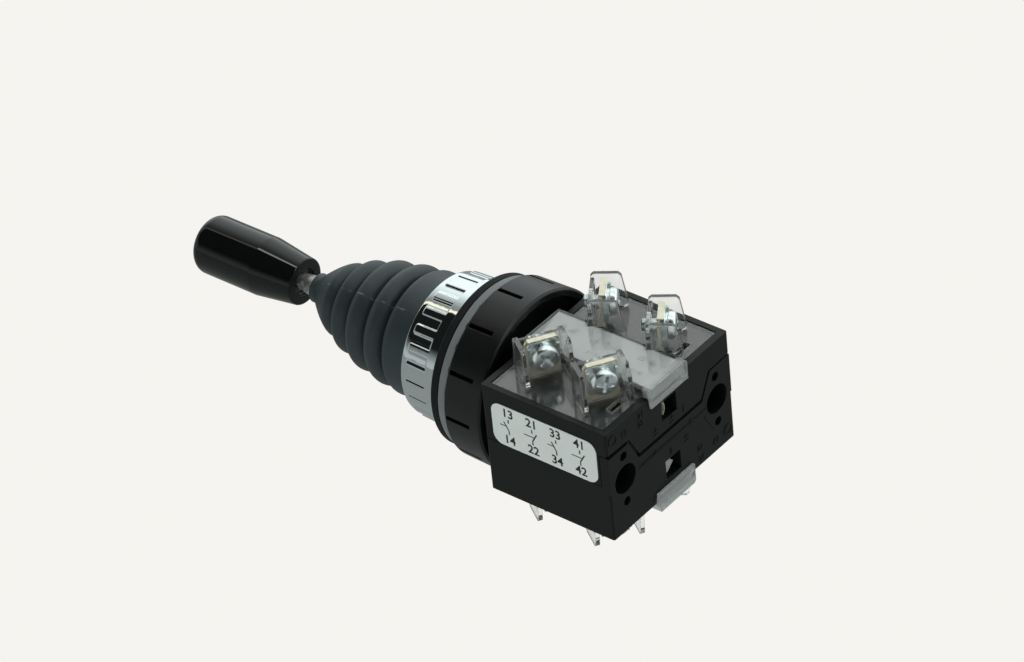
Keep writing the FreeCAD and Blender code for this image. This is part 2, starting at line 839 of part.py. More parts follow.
def coil(inner_r, wire, turns, y0, y1, x=0.0, z=0.0):
    """A square-wire compression spring along Y, built from flat facets."""
    steps = turns * coil_facets
    rise = (y1 - y0 - wire) / steps
    sections = []
    for n in range(steps + 1):
        angle = 2 * math.pi * n / coil_facets
        outward = V(math.cos(angle), 0, math.sin(angle))
        inner = V(x, y0 + n * rise, z) + outward * inner_r
        outer = inner + outward * wire
        sections.append([inner, outer, outer + Y_AXIS * wire, inner + Y_AXIS * wire])
    faces = [facet(sections[0]), facet(sections[-1])]
    for here, there in zip(sections, sections[1:]):
        for a in range(4):
            b = (a + 1) % 4
            faces.append(facet([here[a], here[b], there[b]]))
            faces.append(facet([here[a], there[b], there[a]]))
    shell = Part.makeShell(faces)
    shell.sewShape()
    return Part.makeSolid(shell)


def return_springs():
    """Four springs between the plunger collars and the rear wall of the block."""
    y0 = collar_rear + seat_gap
    y1 = chamber_rear - seat_gap
    return group([coil(spring_inner_r, spring_wire, spring_turns, y0, y1, x, z)
                  for _, x, z in plunger_places()])


def centering_spring():
    """Spring between the actuator disc and the boss of the adapter."""
    return coil(centering_spring_r, centering_spring_wire, centering_spring_turns,
                disc_back + seat_gap, boss_front - seat_gap)


def fixing_screws():
    """Two screws deep in the tunnels that hold the block on the adapter."""
    seat = block_front + tunnel_floor
    head_top = seat + fixing_head_height
    screw = rod_y(fixing_head_r, seat, head_top).fuse(rod_y(fixing_shank_r, adapter_front, seat))
    slot = box(-fixing_head_r - over, fixing_head_r + over, head_top - fixing_slot_depth,
               head_top + over, -fixing_slot / 2, fixing_slot / 2)
    screw = screw.cut(slot)
    screw.translate(V(tunnel_x, 0, tunnel_z))
    return group([screw, mirrored(screw)])


def assemble():
    """Every node of the joystick by name."""
    nodes = {
        "handle_grip": grip(),
        "grip_insert": grip_insert(),
        "lever_rod": lever_rod(),
        "pivot_hub": pivot_hub(),
        "hub_pins": hub_pins(),
        "gimbal_ring": gimbal_ring(),
        "gimbal_pins": gimbal_pins(),
        "actuator_disc": actuator_disc(),
        "disc_nut": disc_nut(),
        "centering_spring": centering_spring(),
        "bellows": bellows(),
        "bezel_ring": bezel_ring(),
        "mounting_body": mounting_body(),
        "panel_gasket": panel_gasket(),
        "anti_rotation_washer": anti_rotation_washer(),
        "locking_nut": locking_nut(),
        "adapter_plate": adapter_plate(),
        "upper_block_half": upper_half(),
        "lower_block_half": lower_half(),
        "side_label": side_label(),
        "return_springs": return_springs(),
        "block_fixing_screws": fixing_screws(),
    }
    pairs = {
        "clear_cover": clear_cover(),
        "label_card": label_card(),
        "terminal_strips": group(on_terminals(terminal_strip())),
        "terminal_clamps": group(on_terminals(clamp_plate())),
        "terminal_screws": group(on_terminals(terminal_screw())),
    }
    for name, shape in pairs.items():
        nodes["upper_" + name] = shape
        nodes["lower_" + name] = flipped(shape)
    for name, x, z in plunger_places():
        nodes["plunger_" + name] = plunger(x, z)
        nodes["contact_bridge_" + name] = contact_bridge(x, z)
    return nodes


os.makedirs("parts", exist_ok=True)
for node_name, node_shape in assemble().items():
    node_shape.exportStep("parts/" + node_name + ".step")
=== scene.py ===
import json
import math

import bmesh
import bpy
from bpy.props import FloatProperty, FloatVectorProperty, PointerProperty
from mathutils import Matrix, Vector


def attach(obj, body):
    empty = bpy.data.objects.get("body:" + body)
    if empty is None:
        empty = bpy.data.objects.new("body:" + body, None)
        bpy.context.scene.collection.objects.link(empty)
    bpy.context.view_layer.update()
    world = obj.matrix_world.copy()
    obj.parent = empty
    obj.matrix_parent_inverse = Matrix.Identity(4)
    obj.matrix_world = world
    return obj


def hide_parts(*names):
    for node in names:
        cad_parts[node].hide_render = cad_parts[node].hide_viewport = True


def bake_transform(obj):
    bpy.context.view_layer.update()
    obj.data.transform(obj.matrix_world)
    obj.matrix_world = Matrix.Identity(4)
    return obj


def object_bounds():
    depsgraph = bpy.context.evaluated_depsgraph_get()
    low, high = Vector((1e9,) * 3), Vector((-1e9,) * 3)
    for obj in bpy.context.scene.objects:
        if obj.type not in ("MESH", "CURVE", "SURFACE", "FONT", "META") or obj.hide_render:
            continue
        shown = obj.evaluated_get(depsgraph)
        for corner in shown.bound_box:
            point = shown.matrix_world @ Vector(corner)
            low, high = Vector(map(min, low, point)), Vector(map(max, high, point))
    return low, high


bl_info = {
    "name": "Panel joystick looks",
    "version": (1, 0, 0),
    "blender": (4, 5, 0),
    "location": "3D View > Sidebar > Joystick",
    "description": "Dresses the packed panel joystick with its finishes and finely modelled pieces",
    "category": "Object",
}

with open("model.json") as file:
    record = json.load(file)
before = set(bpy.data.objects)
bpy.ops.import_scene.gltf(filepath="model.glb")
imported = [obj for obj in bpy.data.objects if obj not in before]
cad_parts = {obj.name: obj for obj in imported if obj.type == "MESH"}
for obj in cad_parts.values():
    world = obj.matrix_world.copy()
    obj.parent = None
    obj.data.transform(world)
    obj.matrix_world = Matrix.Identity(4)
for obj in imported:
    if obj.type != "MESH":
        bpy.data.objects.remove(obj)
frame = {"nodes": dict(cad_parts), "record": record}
cad_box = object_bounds()

MM = 0.001
AXIS_R = 0.02
HALVES = (("upper", 1), ("lower", -1))

# The camera, in millimetres in the frame of the part
CAMERA_AT = Vector((777.591, 708.388, 801.936))
CAMERA_FORWARD = Vector((-0.59313678, -0.53492682, -0.60169931))
CAMERA_RIGHT = Vector((-0.61966799, 0.78046278, -0.08300258))
SENSOR_WIDTH = 36.0
PHOTO_WIDTH = 1024
FOCAL_PIXELS = 5000.0

# Stage: sizes in metres, light colours, and how bright each part of the surroundings is in a mirror
BACKGROUND = (0.930, 0.912, 0.878)
FLOOR_DROP = 0.25
FLOOR_HALF = 6.0
COOL = (0.94, 1.0, 1.0)
WARM = (1.0, 0.93, 0.72)
PAPER = (0.76, 0.78, 0.77)
PAPER_MIRRORED = 0.34
PAPER_MIRROR_SHARE = 0.95
EVEN_SHARE = 0.97
LEFT_FAR, LEFT_NEAR = 1.4, 0.30
RIGHT_LOW, RIGHT_HIGH = 0.6, 0.012
STREAK_AT, STREAK_CORE, STREAK_EDGE, STREAK_WIDER = -0.02, 0.02, 0.045, 0.02
STREAK_WARM, STREAK_COOL = 1.5, 5.5
BEHIND_SHARE, BEHIND_LIGHT = 0.6, 0.15
PANEL_AT, PANEL_SIZE = Vector((-0.5, -0.65, 0.85)), (0.75, 1.2)
FILL_AT, FILL_SIZE = Vector((1.1, 0.1, -0.08)), (0.8, 0.35)

# Grip: outline as (radius, y), from the round end to the recess round the rod
GRIP_END = -101.2
GRIP_FACE = -66.3
GRIP_R = 8.46
GRIP_NECK_R = 6.8
GRIP_SHOULDER_Y = -79.6
GRIP_END_ROUND = 3.2
GRIP_RIM_ROUND = 0.45
GRIP_RECESS_R = 3.9
GRIP_RECESS_DEPTH = 1.1
GRIP_RECESS_ROUND = 0.25
GRIP_BORE_R = 2.45
GRIP_BORE_DEPTH = 15.0

# Bellows: crests as (radius, y), and the split between the two pieces
SLEEVE_R = 4.18
SLEEVE_FRONT = -61.6
SLEEVE_REAR = -59.5
SLEEVE_BORE = 3.15
SLEEVE_ROUND = 0.3
DOME_START_R = 4.3
DOME_POWER = 1.25
CRESTS = ((10.5, -51.06), (13.3, -44.87), (15.7, -37.5), (17.1, -29.8), (17.7, -23.2))
VALLEY_DEPTH = 4.4
LOBE_POWER = 2.0
LOBE_ROUND = 2.0
SKIRT_R = 17.25
BEAD_FRONT = -11.8
BEAD_REAR = -9.85
BEAD_R = 18.65
BELLOWS_WALL = 1.0
SEAM_ANGLE = math.radians(33.5)
SEAM_HEIGHT = 0.07
SEAM_HALF = math.radians(0.35)
SPLIT_VALLEY = 3

# Bezel ring
BEZEL_FRONT = -15.9
BEZEL_CONE_END = -3.85
BEZEL_REAR = -2.5
BEZEL_MOUTH_R = 18.4
BEZEL_INNER_R = 19.05
BEZEL_SHOULDER = -12.1
BEZEL_FRONT_R = 20.15
BEZEL_REAR_R = 20.8
BEZEL_LIP_R = 21.35
BEZEL_FRONT_ROUND = 0.5
BEZEL_LIP_ROUND = 0.45
BEZEL_REAR_ROUND = 0.3
TEETH = 24
TOOTH_PITCH = 2 * math.pi / TEETH
TOOTH_HALF = math.radians(3.45)
TOOTH_PHASE = math.radians(-1.25)
TOOTH_FRONT = -14.1
TOOTH_ROOT = -7.2
TOOTH_HEIGHT = 0.38
TOOTH_EDGE = 0.2

# Terminals: each stands in a frame that is shifted and turned about Z, with the screw along its Y
TERMINAL_ACROSS = 12.7
TERMINAL_FIRST_Y = 28.2
TERMINAL_PITCH = 19.0
TERMINAL_TURN = math.radians(33.5)
SCREW_Z = 23.4
SCREW_HEAD_R = 3.5
SCREW_HEAD_LOW = 2.2
SCREW_HEAD_TOP = 4.6
SCREW_CROWN = 0.55
SCREW_SHANK_R = 1.75
SCREW_END = -4.85
THREAD_PITCH = 0.6
THREAD_DEPTH = 0.28
RECESS_HALF = 0.52
RECESS_REACH = 2.2
RECESS_MIDDLE_R = 0.85
RECESS_TAPER = 0.07
RECESS_EDGE = 0.14
RECESS_DEPTH = 1.3
RECESS_SLOPE = 0.4
RECESS_TURN = 0.65
# Faces of the cross recess deeper than this get the painted shade finish
RECESS_SHADE_DEPTH = 0.2
LIP_OUTLINE = (-3.85, 3.85, -0.4, 1.2, 0.15)
LIP_LOW = 27.67
LIP_HEIGHT = 0.35
WELD_DISTANCE = 1e-7

# Block: its rear face, label side and clear bars
REAR_FACE = 58.4
SIDE_FACE = 26.0
BAR_TOP = 20.2
LABEL = (20.6, 54.9, -0.2, 13.0)
LABEL_CORNER = 3.0
LABEL_THICKNESS = 0.12
LABEL_MIDDLE = ((LABEL[0] + LABEL[1]) / 2, (LABEL[2] + LABEL[3]) / 2)
FIGURE_SIZE = 1.4
FIGURE_WEIGHT = 0.03
LABEL_PITCH = 7.8
LABEL_NUMBER = 2.7
LABEL_NUMBER_Y = 4.3
INK_DEPTH = 0.02
MARK_DEPTH = 0.14
BAR_MARK_DEPTH = 0.12
WINDOW_DEPTH = 2.2
COVER_EDGE = 0.22 * MM
COVER_WELD = 1e-6

# Raised marks on the rear face: text, height, x and z, and the places of symbols and rings
REAR_NUMBERS = (("13", 1.9, 18.6, 12.9), ("21", 1.6, 11.4, 14.4), ("22", 1.6, 11.7, 11.7),
                ("1", 2.0, -5.9, 4.9), ("2", 2.0, 0.4, -4.7), ("33", 1.6, -11.4, -11.8),
                ("34", 1.6, -11.7, -15.4), ("41", 1.9, -18.2, -13.9))
REAR_SYMBOLS = ((6.0, 4.9), (-0.9, 4.7), (-6.1, -4.9))
REAR_RINGS = ((23.3, 14.0), (-23.4, -13.5))


class Wire:
    """One output socket, so that shader maths reads as sums and products."""

    def __init__(self, bench, socket):
        self.bench = bench
        self.socket = socket

    def pick(self, name):
        """Another output of the same node."""
        return Wire(self.bench, self.socket.node.outputs[name])

    def maths(self, operation, *values):
        return self.bench.node("ShaderNodeMath", {"operation": operation}, dict(enumerate(values)))

    def __add__(self, other):
        return self.maths("ADD", self, other)

    def __radd__(self, other):
        return self.maths("ADD", other, self)

    def __sub__(self, other):
        return self.maths("SUBTRACT", self, other)

    def __rsub__(self, other):
        return self.maths("SUBTRACT", other, self)

    def __mul__(self, other):
        return self.maths("MULTIPLY", self, other)

    def __rmul__(self, other):
        return self.maths("MULTIPLY", other, self)

    def __abs__(self):
        return self.maths("ABSOLUTE", self)

    def clamped(self):
        return self.maths("MINIMUM", self.maths("MAXIMUM", self, 0.0), 1.0)

    def step(self, low, high):
        """0 below low, 1 above high, smooth between them."""
        settings = {"interpolation_type": "SMOOTHSTEP"}
        return self.bench.node("ShaderNodeMapRange", settings,
                               {"Value": self, "From Min": low, "From Max": high})


class Bench:
    """The node tree of one material or world, with its nodes made by one method."""

    def __init__(self, owner):
        owner.use_nodes = True
        self.tree = owner.node_tree
        self.tree.nodes.clear()

    def node(self, kind, settings=None, values=None, output=0):
        """A node with its settings made first, then its sockets set or linked."""
        made = self.tree.nodes.new(kind)
        for name, value in (settings or {}).items():
            setattr(made, name, value)
        for name, value in (values or {}).items():
            if isinstance(value, Wire):
                self.tree.links.new(value.socket, made.inputs[name])
            else:
                made.inputs[name].default_value = value
        return Wire(self, made.outputs[output]) if len(made.outputs) else None

    def mix(self, share, first, second):
        """A colour between two, each a wire or linear red, green and blue."""
        ends = [end if isinstance(end, Wire) else colour(*end) for end in (first, second)]
        return self.node("ShaderNodeMix", {"data_type": "RGBA"}, {0: share, 6: ends[0], 7: ends[1]}, 2)

    def place(self):
        """The place on the piece at rest, in metres."""
        return self.node("ShaderNodeTexCoord", output="Object")

    def axis(self, name, vector=None):
        """One coordinate of a vector, or of the place on the piece."""
        return self.node("ShaderNodeSeparateXYZ", None, {0: vector or self.place()}, output=name)

    def noise(self, scale, detail=2.0, vector=None, rough=0.5):
        """Soft noise from 0 to 1, with its scale per metre."""
        return self.node("ShaderNodeTexNoise", None,
                         {"Vector": vector or self.place(), "Scale": scale, "Detail": detail,
                          "Roughness": rough})

    def bump(self, height, strength, distance, edge=0.0):
        """A normal with fine relief, on edges rounded by a radius."""
        values = {"Height": height, "Strength": strength, "Distance": distance}
        if edge:
            values["Normal"] = self.node("ShaderNodeBevel", {"samples": 6}, {"Radius": edge})
        return self.node("ShaderNodeBump", None, values)

    def rays(self):
        """The light path, and 1 for what the camera sees, also through clear plastic."""
        path = self.node("ShaderNodeLightPath", output="Is Camera Ray")
        return path, path.maths("MAXIMUM", path, path.pick("Is Transmission Ray"))

    def surface(self, **sockets):
        """The principled shader on the material's output."""
        values = {name.replace("_", " "): value for name, value in sockets.items()}
        shader = self.node("ShaderNodeBsdfPrincipled", None, values)
        self.node("ShaderNodeOutputMaterial", None, {"Surface": shader})


def colour(red, green, blue):
    """A colour for a socket, in linear values."""
    return (red, green, blue, 1.0)


def polished_black(bench):
    """Polished thermoset of the grip: deep black with faint rubbing, matt on the face by the rod."""
    rubbed = bench.noise(160.0, 4.0)
    haze = bench.noise(900.0, 3.0)
    face = bench.axis("Y").step(GRIP_FACE * MM - 0.00012, GRIP_FACE * MM - 0.00002)
    bench.surface(Base_Color=bench.mix(rubbed, (0.0035, 0.004, 0.004), (0.007, 0.0072, 0.007)),
                  Roughness=0.02 + 0.035 * rubbed + 0.45 * face, Specular_IOR_Level=0.36,
                  Normal=bench.bump(haze, 0.02, 0.00004), IOR=1.5)


def turned_steel(bench):
    """Turned rod: fine rings round the axis and a little grime."""
    squeezed = bench.node("ShaderNodeVectorMath", {"operation": "MULTIPLY"},
                          {0: bench.place(), 1: (150.0, 4500.0, 150.0)})
    rings = bench.noise(1.0, 3.0, squeezed)
    grime = bench.noise(700.0, 4.0).step(0.42, 0.62)
    bench.surface(Base_Color=bench.mix(grime, (0.60, 0.60, 0.58), (0.27, 0.26, 0.24)),
                  Metallic=0.65, Roughness=0.45 + 0.2 * rings, Normal=bench.bump(rings, 0.35, 0.00008))


def bellows_rubber(bench):
    """Dark slate rubber with fine grain, a dusty bloom and flecks along the mould line."""
    cloud = bench.noise(70.0, 4.0)
    grain = bench.noise(2600.0)
    dust = bench.noise(1500.0).step(0.70, 0.76)
    sideways = bench.axis("X")
    angle = sideways.maths("ARCTAN2", sideways, sideways.pick("Z"))
    off_seam = abs(angle - SEAM_ANGLE)
    flecks = (1.0 - off_seam.step(0.008, 0.022)) * bench.noise(420.0, 3.0).step(0.50, 0.62)
    plain = bench.mix(cloud, (0.023, 0.036, 0.038), (0.032, 0.047, 0.050))
    bloom = (dust * 0.35 + flecks * 0.5).clamped()
    bench.surface(Base_Color=bench.mix(bloom, plain, (0.20, 0.22, 0.22)),
                  Roughness=0.44 + 0.12 * cloud,
                  Normal=bench.bump(grain + flecks * 2.0, 0.22, 0.00006), IOR=1.5)


def gasket_rubber(bench):
    """Black gasket rubber with a fine matt grain."""
    cloud = bench.noise(180.0, 3.0)
    bench.surface(Base_Color=bench.mix(cloud, (0.011, 0.013, 0.013), (0.018, 0.021, 0.021)),
                  Roughness=0.55 + 0.15 * cloud, Specular_IOR_Level=0.10,
                  Normal=bench.bump(bench.noise(2200.0), 0.2, 0.00006, 0.0003))


def chrome_plate(bench):
    """Bright plate with the faint waviness of plated plastic."""
    wave = bench.noise(260.0)
    speck = bench.noise(1800.0).step(0.68, 0.74)
    bench.surface(Base_Color=bench.mix(speck, (0.66, 0.71, 0.71), (0.46, 0.49, 0.49)),
                  Metallic=1.0, Roughness=0.035 + 0.05 * wave, Normal=bench.bump(wave, 0.10, 0.0004))


def washer_paint(bench):
    """Grey moulded washer, slightly scuffed."""
    cloud = bench.noise(300.0, 4.0)
    bench.surface(Base_Color=bench.mix(cloud, (0.17, 0.185, 0.185), (0.24, 0.255, 0.255)),
                  Roughness=0.42 + 0.2 * cloud, Specular_IOR_Level=0.3,
                  Normal=bench.bump(bench.noise(1800.0), 0.15, 0.00006, 0.0002))


def nut_black(bench):
    """Satin black moulding with a soft sheen and faint turning marks."""
    cloud = bench.noise(120.0, 3.0)
    grain = bench.noise(2600.0)
    bench.surface(Base_Color=bench.mix(cloud, (0.0045, 0.0055, 0.0055), (0.0085, 0.0095, 0.0095)),
                  Roughness=0.30 + 0.14 * cloud, Specular_IOR_Level=0.4,
                  Normal=bench.bump(grain, 0.16, 0.00006, 0.0003))


def block_black(bench):
    """Satin black moulding of the contact block, with fine grain and light scuffs."""
    cloud = bench.noise(90.0, 4.0)
    scuff = bench.noise(650.0, 5.0, rough=0.7).step(0.62, 0.72)
    plain = bench.mix(cloud, (0.0055, 0.0068, 0.0068), (0.0095, 0.011, 0.011))
    bench.surface(Base_Color=bench.mix(scuff * 0.5, plain, (0.022, 0.025, 0.025)),
                  Roughness=0.34 + 0.16 * cloud, Specular_IOR_Level=0.2,
                  Normal=bench.bump(bench.noise(3000.0), 0.2, 0.00005, 0.00022))


def black_metal(bench):
    """Black finish of the mounting body and the adapter."""
    cloud = bench.noise(150.0, 3.0)
    bench.surface(Base_Color=bench.mix(cloud, (0.006, 0.006, 0.007), (0.012, 0.012, 0.013)),
                  Roughness=0.40 + 0.15 * cloud, Specular_IOR_Level=0.35,
                  Normal=bench.bump(bench.noise(1600.0), 0.2, 0.00006, 0.0002))


def clear_moulding(bench):
    """Clear polycarbonate with flow marks, frosted on the lower rear tab. Its rounded edges are rougher, and
    the pale frost mixed in there is a painted highlight.
    """
    flow = bench.noise(220.0, 3.0)
    along = bench.axis("Y")
    below = along.pick("Z").step(-0.0180, -0.0188)
    tab = along.step(0.0562, 0.0567)
    frosted = tab * below
    # Rounded edges: rougher, and pale frost mixed in along them as a painted highlight
    facing = bench.node("ShaderNodeNewGeometry", output="Normal")
    rounded = bench.node("ShaderNodeBevel", {"samples": 6}, {"Radius": 0.00045})
    match = bench.node("ShaderNodeVectorMath", {"operation": "DOT_PRODUCT"}, {0: facing, 1: rounded},
                       output="Value")
    edge = (1.0 - match).step(0.01, 0.12)
    clear = bench.node("ShaderNodeBsdfPrincipled", None, {
        "Base Color": bench.mix(flow, (0.90, 0.93, 0.93), (0.95, 0.97, 0.97)),
        "Transmission Weight": 0.975, "Roughness": 0.02 + 0.07 * flow + 0.45 * frosted + 0.3 * edge,
        "Normal": bench.bump(flow, 0.10, 0.0003), "IOR": 1.58})
    frost = bench.node("ShaderNodeBsdfPrincipled", None, {
        "Base Color": bench.mix(flow, (0.78, 0.83, 0.83), (0.86, 0.90, 0.90)),
        "Roughness": 0.9, "Specular IOR Level": 0.1})
    # Frost share: the tab, more below it, and the painted highlight on the edges
    share = (tab * 0.28 + frosted * 0.36 + edge * 0.22).clamped()
    blend = bench.node("ShaderNodeMixShader", None, {0: share, 1: clear, 2: frost})
    bench.node("ShaderNodeOutputMaterial", None, {"Surface": blend})


def label_film(bench):
    """Pale grey printed film."""
    cloud = bench.noise(260.0, 3.0)
    bench.surface(Base_Color=bench.mix(cloud, (0.77, 0.83, 0.79), (0.82, 0.88, 0.84)),
                  Roughness=0.38 + 0.1 * cloud, Specular_IOR_Level=0.3,
                  Normal=bench.bump(bench.noise(1500.0), 0.05, 0.00004))


def label_ink(bench):
    """Dark print with slightly worn edges."""
    worn = bench.noise(2500.0, 3.0).step(0.55, 0.75)
    bench.surface(Base_Color=bench.mix(worn, (0.020, 0.025, 0.026), (0.06, 0.068, 0.066)),
                  Roughness=0.45 + 0.1 * worn, Specular_IOR_Level=0.3)


def white_card(bench):
    """Card under the clear label bar."""
    fibre = bench.noise(1200.0, 4.0)
    bench.surface(Base_Color=bench.mix(fibre, (0.82, 0.86, 0.86), (0.87, 0.91, 0.91)),
                  Roughness=0.6 + 0.1 * fibre, Normal=bench.bump(fibre, 0.1, 0.00005))


def brass_plate(bench):
    """Pale plated brass with dull patches."""
    dull = bench.noise(500.0, 4.0)
    bench.surface(Base_Color=bench.mix(dull, (0.86, 0.83, 0.68), (0.66, 0.62, 0.46)),
                  Metallic=0.6, Roughness=0.42 + 0.2 * dull,
                  Normal=bench.bump(bench.noise(1600.0, 3.0), 0.15, 0.00006, 0.00012))


def zinc_plate(bench):
    """Bluish bright zinc, mottled."""
    mottle = bench.noise(900.0, 4.0)
    stain = bench.noise(350.0, 3.0).step(0.45, 0.7)
    base = bench.mix(stain, (0.80, 0.86, 0.85), (0.50, 0.58, 0.58))
    bench.surface(Base_Color=base, Metallic=1.0, Roughness=0.20 + 0.25 * mottle,
                  Normal=bench.bump(mottle, 0.25, 0.0001, 0.00015))


def spring_steel(bench):
    """Drawn spring wire with a thin oil film."""
    film = bench.noise(800.0, 3.0)
    bench.surface(Base_Color=bench.mix(film, (0.50, 0.50, 0.49), (0.33, 0.32, 0.30)),
                  Metallic=1.0, Roughness=0.25 + 0.15 * film,
                  Normal=bench.bump(film, 0.1, 0.00005, 0.00015))


def inner_nylon(bench):
    """Dark moulded nylon inside the switch."""
    cloud = bench.noise(300.0, 3.0)
    bench.surface(Base_Color=bench.mix(cloud, (0.030, 0.030, 0.031), (0.045, 0.045, 0.046)),
                  Roughness=0.5 + 0.12 * cloud,
                  Normal=bench.bump(bench.noise(1500.0), 0.15, 0.00005, 0.0002))


def pale_acetal(bench):
    """Pale acetal of the push rods."""
    cloud = bench.noise(400.0, 3.0)
    bench.surface(Base_Color=bench.mix(cloud, (0.58, 0.55, 0.48), (0.68, 0.66, 0.60)),
                  Roughness=0.40 + 0.12 * cloud,
                  Normal=bench.bump(bench.noise(1500.0), 0.1, 0.00005, 0.0002))


def painted_recess_shade(bench):
    """Painted shade: darker metal on the faces deep in a screw's cross recess, where shade falls."""
    cloud = bench.noise(1200.0, 3.0)
    bench.surface(Base_Color=bench.mix(cloud, (0.05, 0.06, 0.06), (0.22, 0.25, 0.25)),
                  Metallic=0.8, Roughness=0.35 + 0.2 * cloud)


def groove_shade(bench):
    """Painted shade: a near-black matt finish for strips laid on the rear face along the parting groove."""
    cloud = bench.noise(400.0, 3.0)
    bench.surface(Base_Color=bench.mix(cloud, (0.0008, 0.001, 0.001), (0.002, 0.0022, 0.0022)),
                  Roughness=0.75 + 0.15 * cloud, Specular_IOR_Level=0.04)


FINISHES = {
    "grip_plastic": polished_black, "lever_steel": turned_steel, "bellows_rubber": bellows_rubber,
    "gasket_rubber": gasket_rubber, "chrome": chrome_plate, "washer_grey": washer_paint,
    "nut_black": nut_black, "block_black": block_black, "black_metal": black_metal,
    "clear_plastic": clear_moulding, "label_face": label_film, "label_card": white_card,
    "brass": brass_plate, "zinc_plate": zinc_plate, "spring_steel": spring_steel,
    "inner_plastic": inner_nylon, "plunger_plastic": pale_acetal, "label_print": label_ink,
    "groove_shade": groove_shade, "painted_recess_shade": painted_recess_shade,
}


def finish_of(slot):
    """The material of a slot, made once, beside the plain one that came with the frame."""
    name = "finish_" + slot
    found = bpy.data.materials.get(name)
    if found is None:
        found = bpy.data.materials.new(name)
        FINISHES[slot](Bench(found))
    return found


def dress(*names):
    """Give CAD nodes the finish of their slot in the record."""
    slots = {row["node"]: row["material_slot"] for row in frame["record"]["subparts"]}
    for name in names:
        mesh = frame["nodes"][name].data
        mesh.materials.clear()
        mesh.materials.append(finish_of(slots[name]))


def in_scene(name, data):
    """A new object in the scene."""
    made = bpy.data.objects.new(name, data)
    bpy.context.scene.collection.objects.link(made)
    return made


def add_piece(name, mesh, slot, body=None, material=None):
    """A new piece in the scene with its finish, riding on a body."""
    piece = in_scene(name, mesh)
    mesh.materials.clear()
    mesh.materials.append(finish_of(material or slot))
    if body:
        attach(piece, body)
    return piece


def smooth(piece, crease, weigh=True):
    """Smooth shading that keeps the edges sharper than an angle, its normals weighed if asked."""
    piece.data.shade_smooth()
    piece.data.set_sharp_from_angle(angle=math.radians(crease))
    if weigh:
        weighted = piece.modifiers.new("even_normals", "WEIGHTED_NORMAL")
        weighted.keep_sharp = True


def ring_point(radius, y, angle):
    """A point round the lever axis, with the angle measured from +Z towards +X."""
    return Vector((radius * math.sin(angle), y, radius * math.cos(angle))) * MM


def finished_mesh(bm, name, weld=False, outward=True):
    """The mesh of a bmesh, its doubles welded and its faces turned outward where asked."""
    if weld:
        bmesh.ops.remove_doubles(bm, verts=bm.verts, dist=WELD_DISTANCE)
    if outward:
        bmesh.ops.recalc_face_normals(bm, faces=bm.faces)
    mesh = bpy.data.meshes.new(name)
    bm.to_mesh(mesh)
    bm.free()
    return mesh


def skin(bm, rings):
    """Faces between neighbouring rings of points, in order round each pair."""
    faces = []
    for here, there in zip(rings, rings[1:]):
        for n in range(len(here)):
            m = (n + 1) % len(here)
            faces.append(bm.faces.new((here[n], here[m], there[m], there[n])))
    return faces


def slab(bm, corners, depth):
    """Add a flat slab from an outline, with its thickness along +Z."""
    low = [bm.verts.new((x, y, 0.0)) for x, y in corners]
    high = [bm.verts.new((x, y, depth)) for x, y in corners]
    bm.faces.new(low[::-1])
    bm.faces.new(high)
    skin(bm, [low, high])


def lathe(name, profile, angles, closed=True, swell=None):
    """A mesh of revolution about the lever axis from a closed (radius, y) outline."""
    bm = bmesh.new()
    rings = []
    for radius, y in profile:
        ring = []
        for angle in angles:
            extra = swell(angle) if swell else 0.0
            ring.append(bm.verts.new(ring_point(radius + extra, y, angle)))
        rings.append(ring)
    skin(bm, rings + rings[:1] if closed else rings)
    return finished_mesh(bm, name, weld=True)


def even_angles(count):
    return [2 * math.pi * n / count for n in range(count)]


def arc(x, y, radius, start, end, steps):
    """Points of an arc about (x, y), with angles in degrees from the first axis to the second."""
    points = []
    for n in range(steps + 1):
        a = math.radians(start + (end - start) * n / steps)
        points.append((x + radius * math.cos(a), y + radius * math.sin(a)))
    return points


def grip_outline():
    """Outline of the grip from the middle of its end to the bore."""
    taper = math.degrees(math.atan((GRIP_R - GRIP_NECK_R) / (GRIP_FACE - GRIP_SHOULDER_Y)))
    points = [(AXIS_R, GRIP_END)]
    points += arc(GRIP_R - GRIP_END_ROUND, GRIP_END + GRIP_END_ROUND, GRIP_END_ROUND, -90, 0, 14)
    points += [(GRIP_R, GRIP_SHOULDER_Y - 0.25), (GRIP_R - 0.015, GRIP_SHOULDER_Y + 0.1)]
    points += arc(GRIP_NECK_R - GRIP_RIM_ROUND, GRIP_FACE - GRIP_RIM_ROUND, GRIP_RIM_ROUND,
                  taper, 90, 6)
    points += arc(GRIP_RECESS_R + GRIP_RECESS_ROUND, GRIP_FACE - GRIP_RECESS_ROUND, GRIP_RECESS_ROUND,
                  90, 180, 4)
    floor = GRIP_FACE - GRIP_RECESS_DEPTH
    points += [(GRIP_RECESS_R, floor + 0.2), (GRIP_RECESS_R - 0.2, floor), (GRIP_BORE_R, floor),
               (GRIP_BORE_R, floor - GRIP_BORE_DEPTH), (AXIS_R, floor - GRIP_BORE_DEPTH)]
    return points


def lobe(start, end, low_r, steps=14):
    """Half a fold, from a crest at start to the valley at end, both as (radius, y)."""
    points = []
    for n in range(steps + 1):
        t = n / steps
        share = (1 - t ** LOBE_POWER) ** (1 / LOBE_ROUND)
        points.append((low_r + (start[0] - low_r) * share, start[1] + (end - start[1]) * t))
    return points


def valley(n):
    """Radius and place of the valley behind crest n."""
    here, there = CRESTS[n], CRESTS[n + 1]
    return (here[0] + there[0]) / 2 - VALLEY_DEPTH, (here[1] + there[1]) / 2


def fold_outline(first, last):
    """Outer outline through the crests first to last, from valley to valley."""
    points = []
    for n in range(first, last + 1):
        if n > 0:
            low_r, low_y = valley(n - 1)
            points += lobe(CRESTS[n], low_y, low_r)[:0:-1]
        if n < len(CRESTS) - 1:
            low_r, low_y = valley(n)
            points += lobe(CRESTS[n], low_y, low_r)
        else:
            points.append(CRESTS[n])
    return points


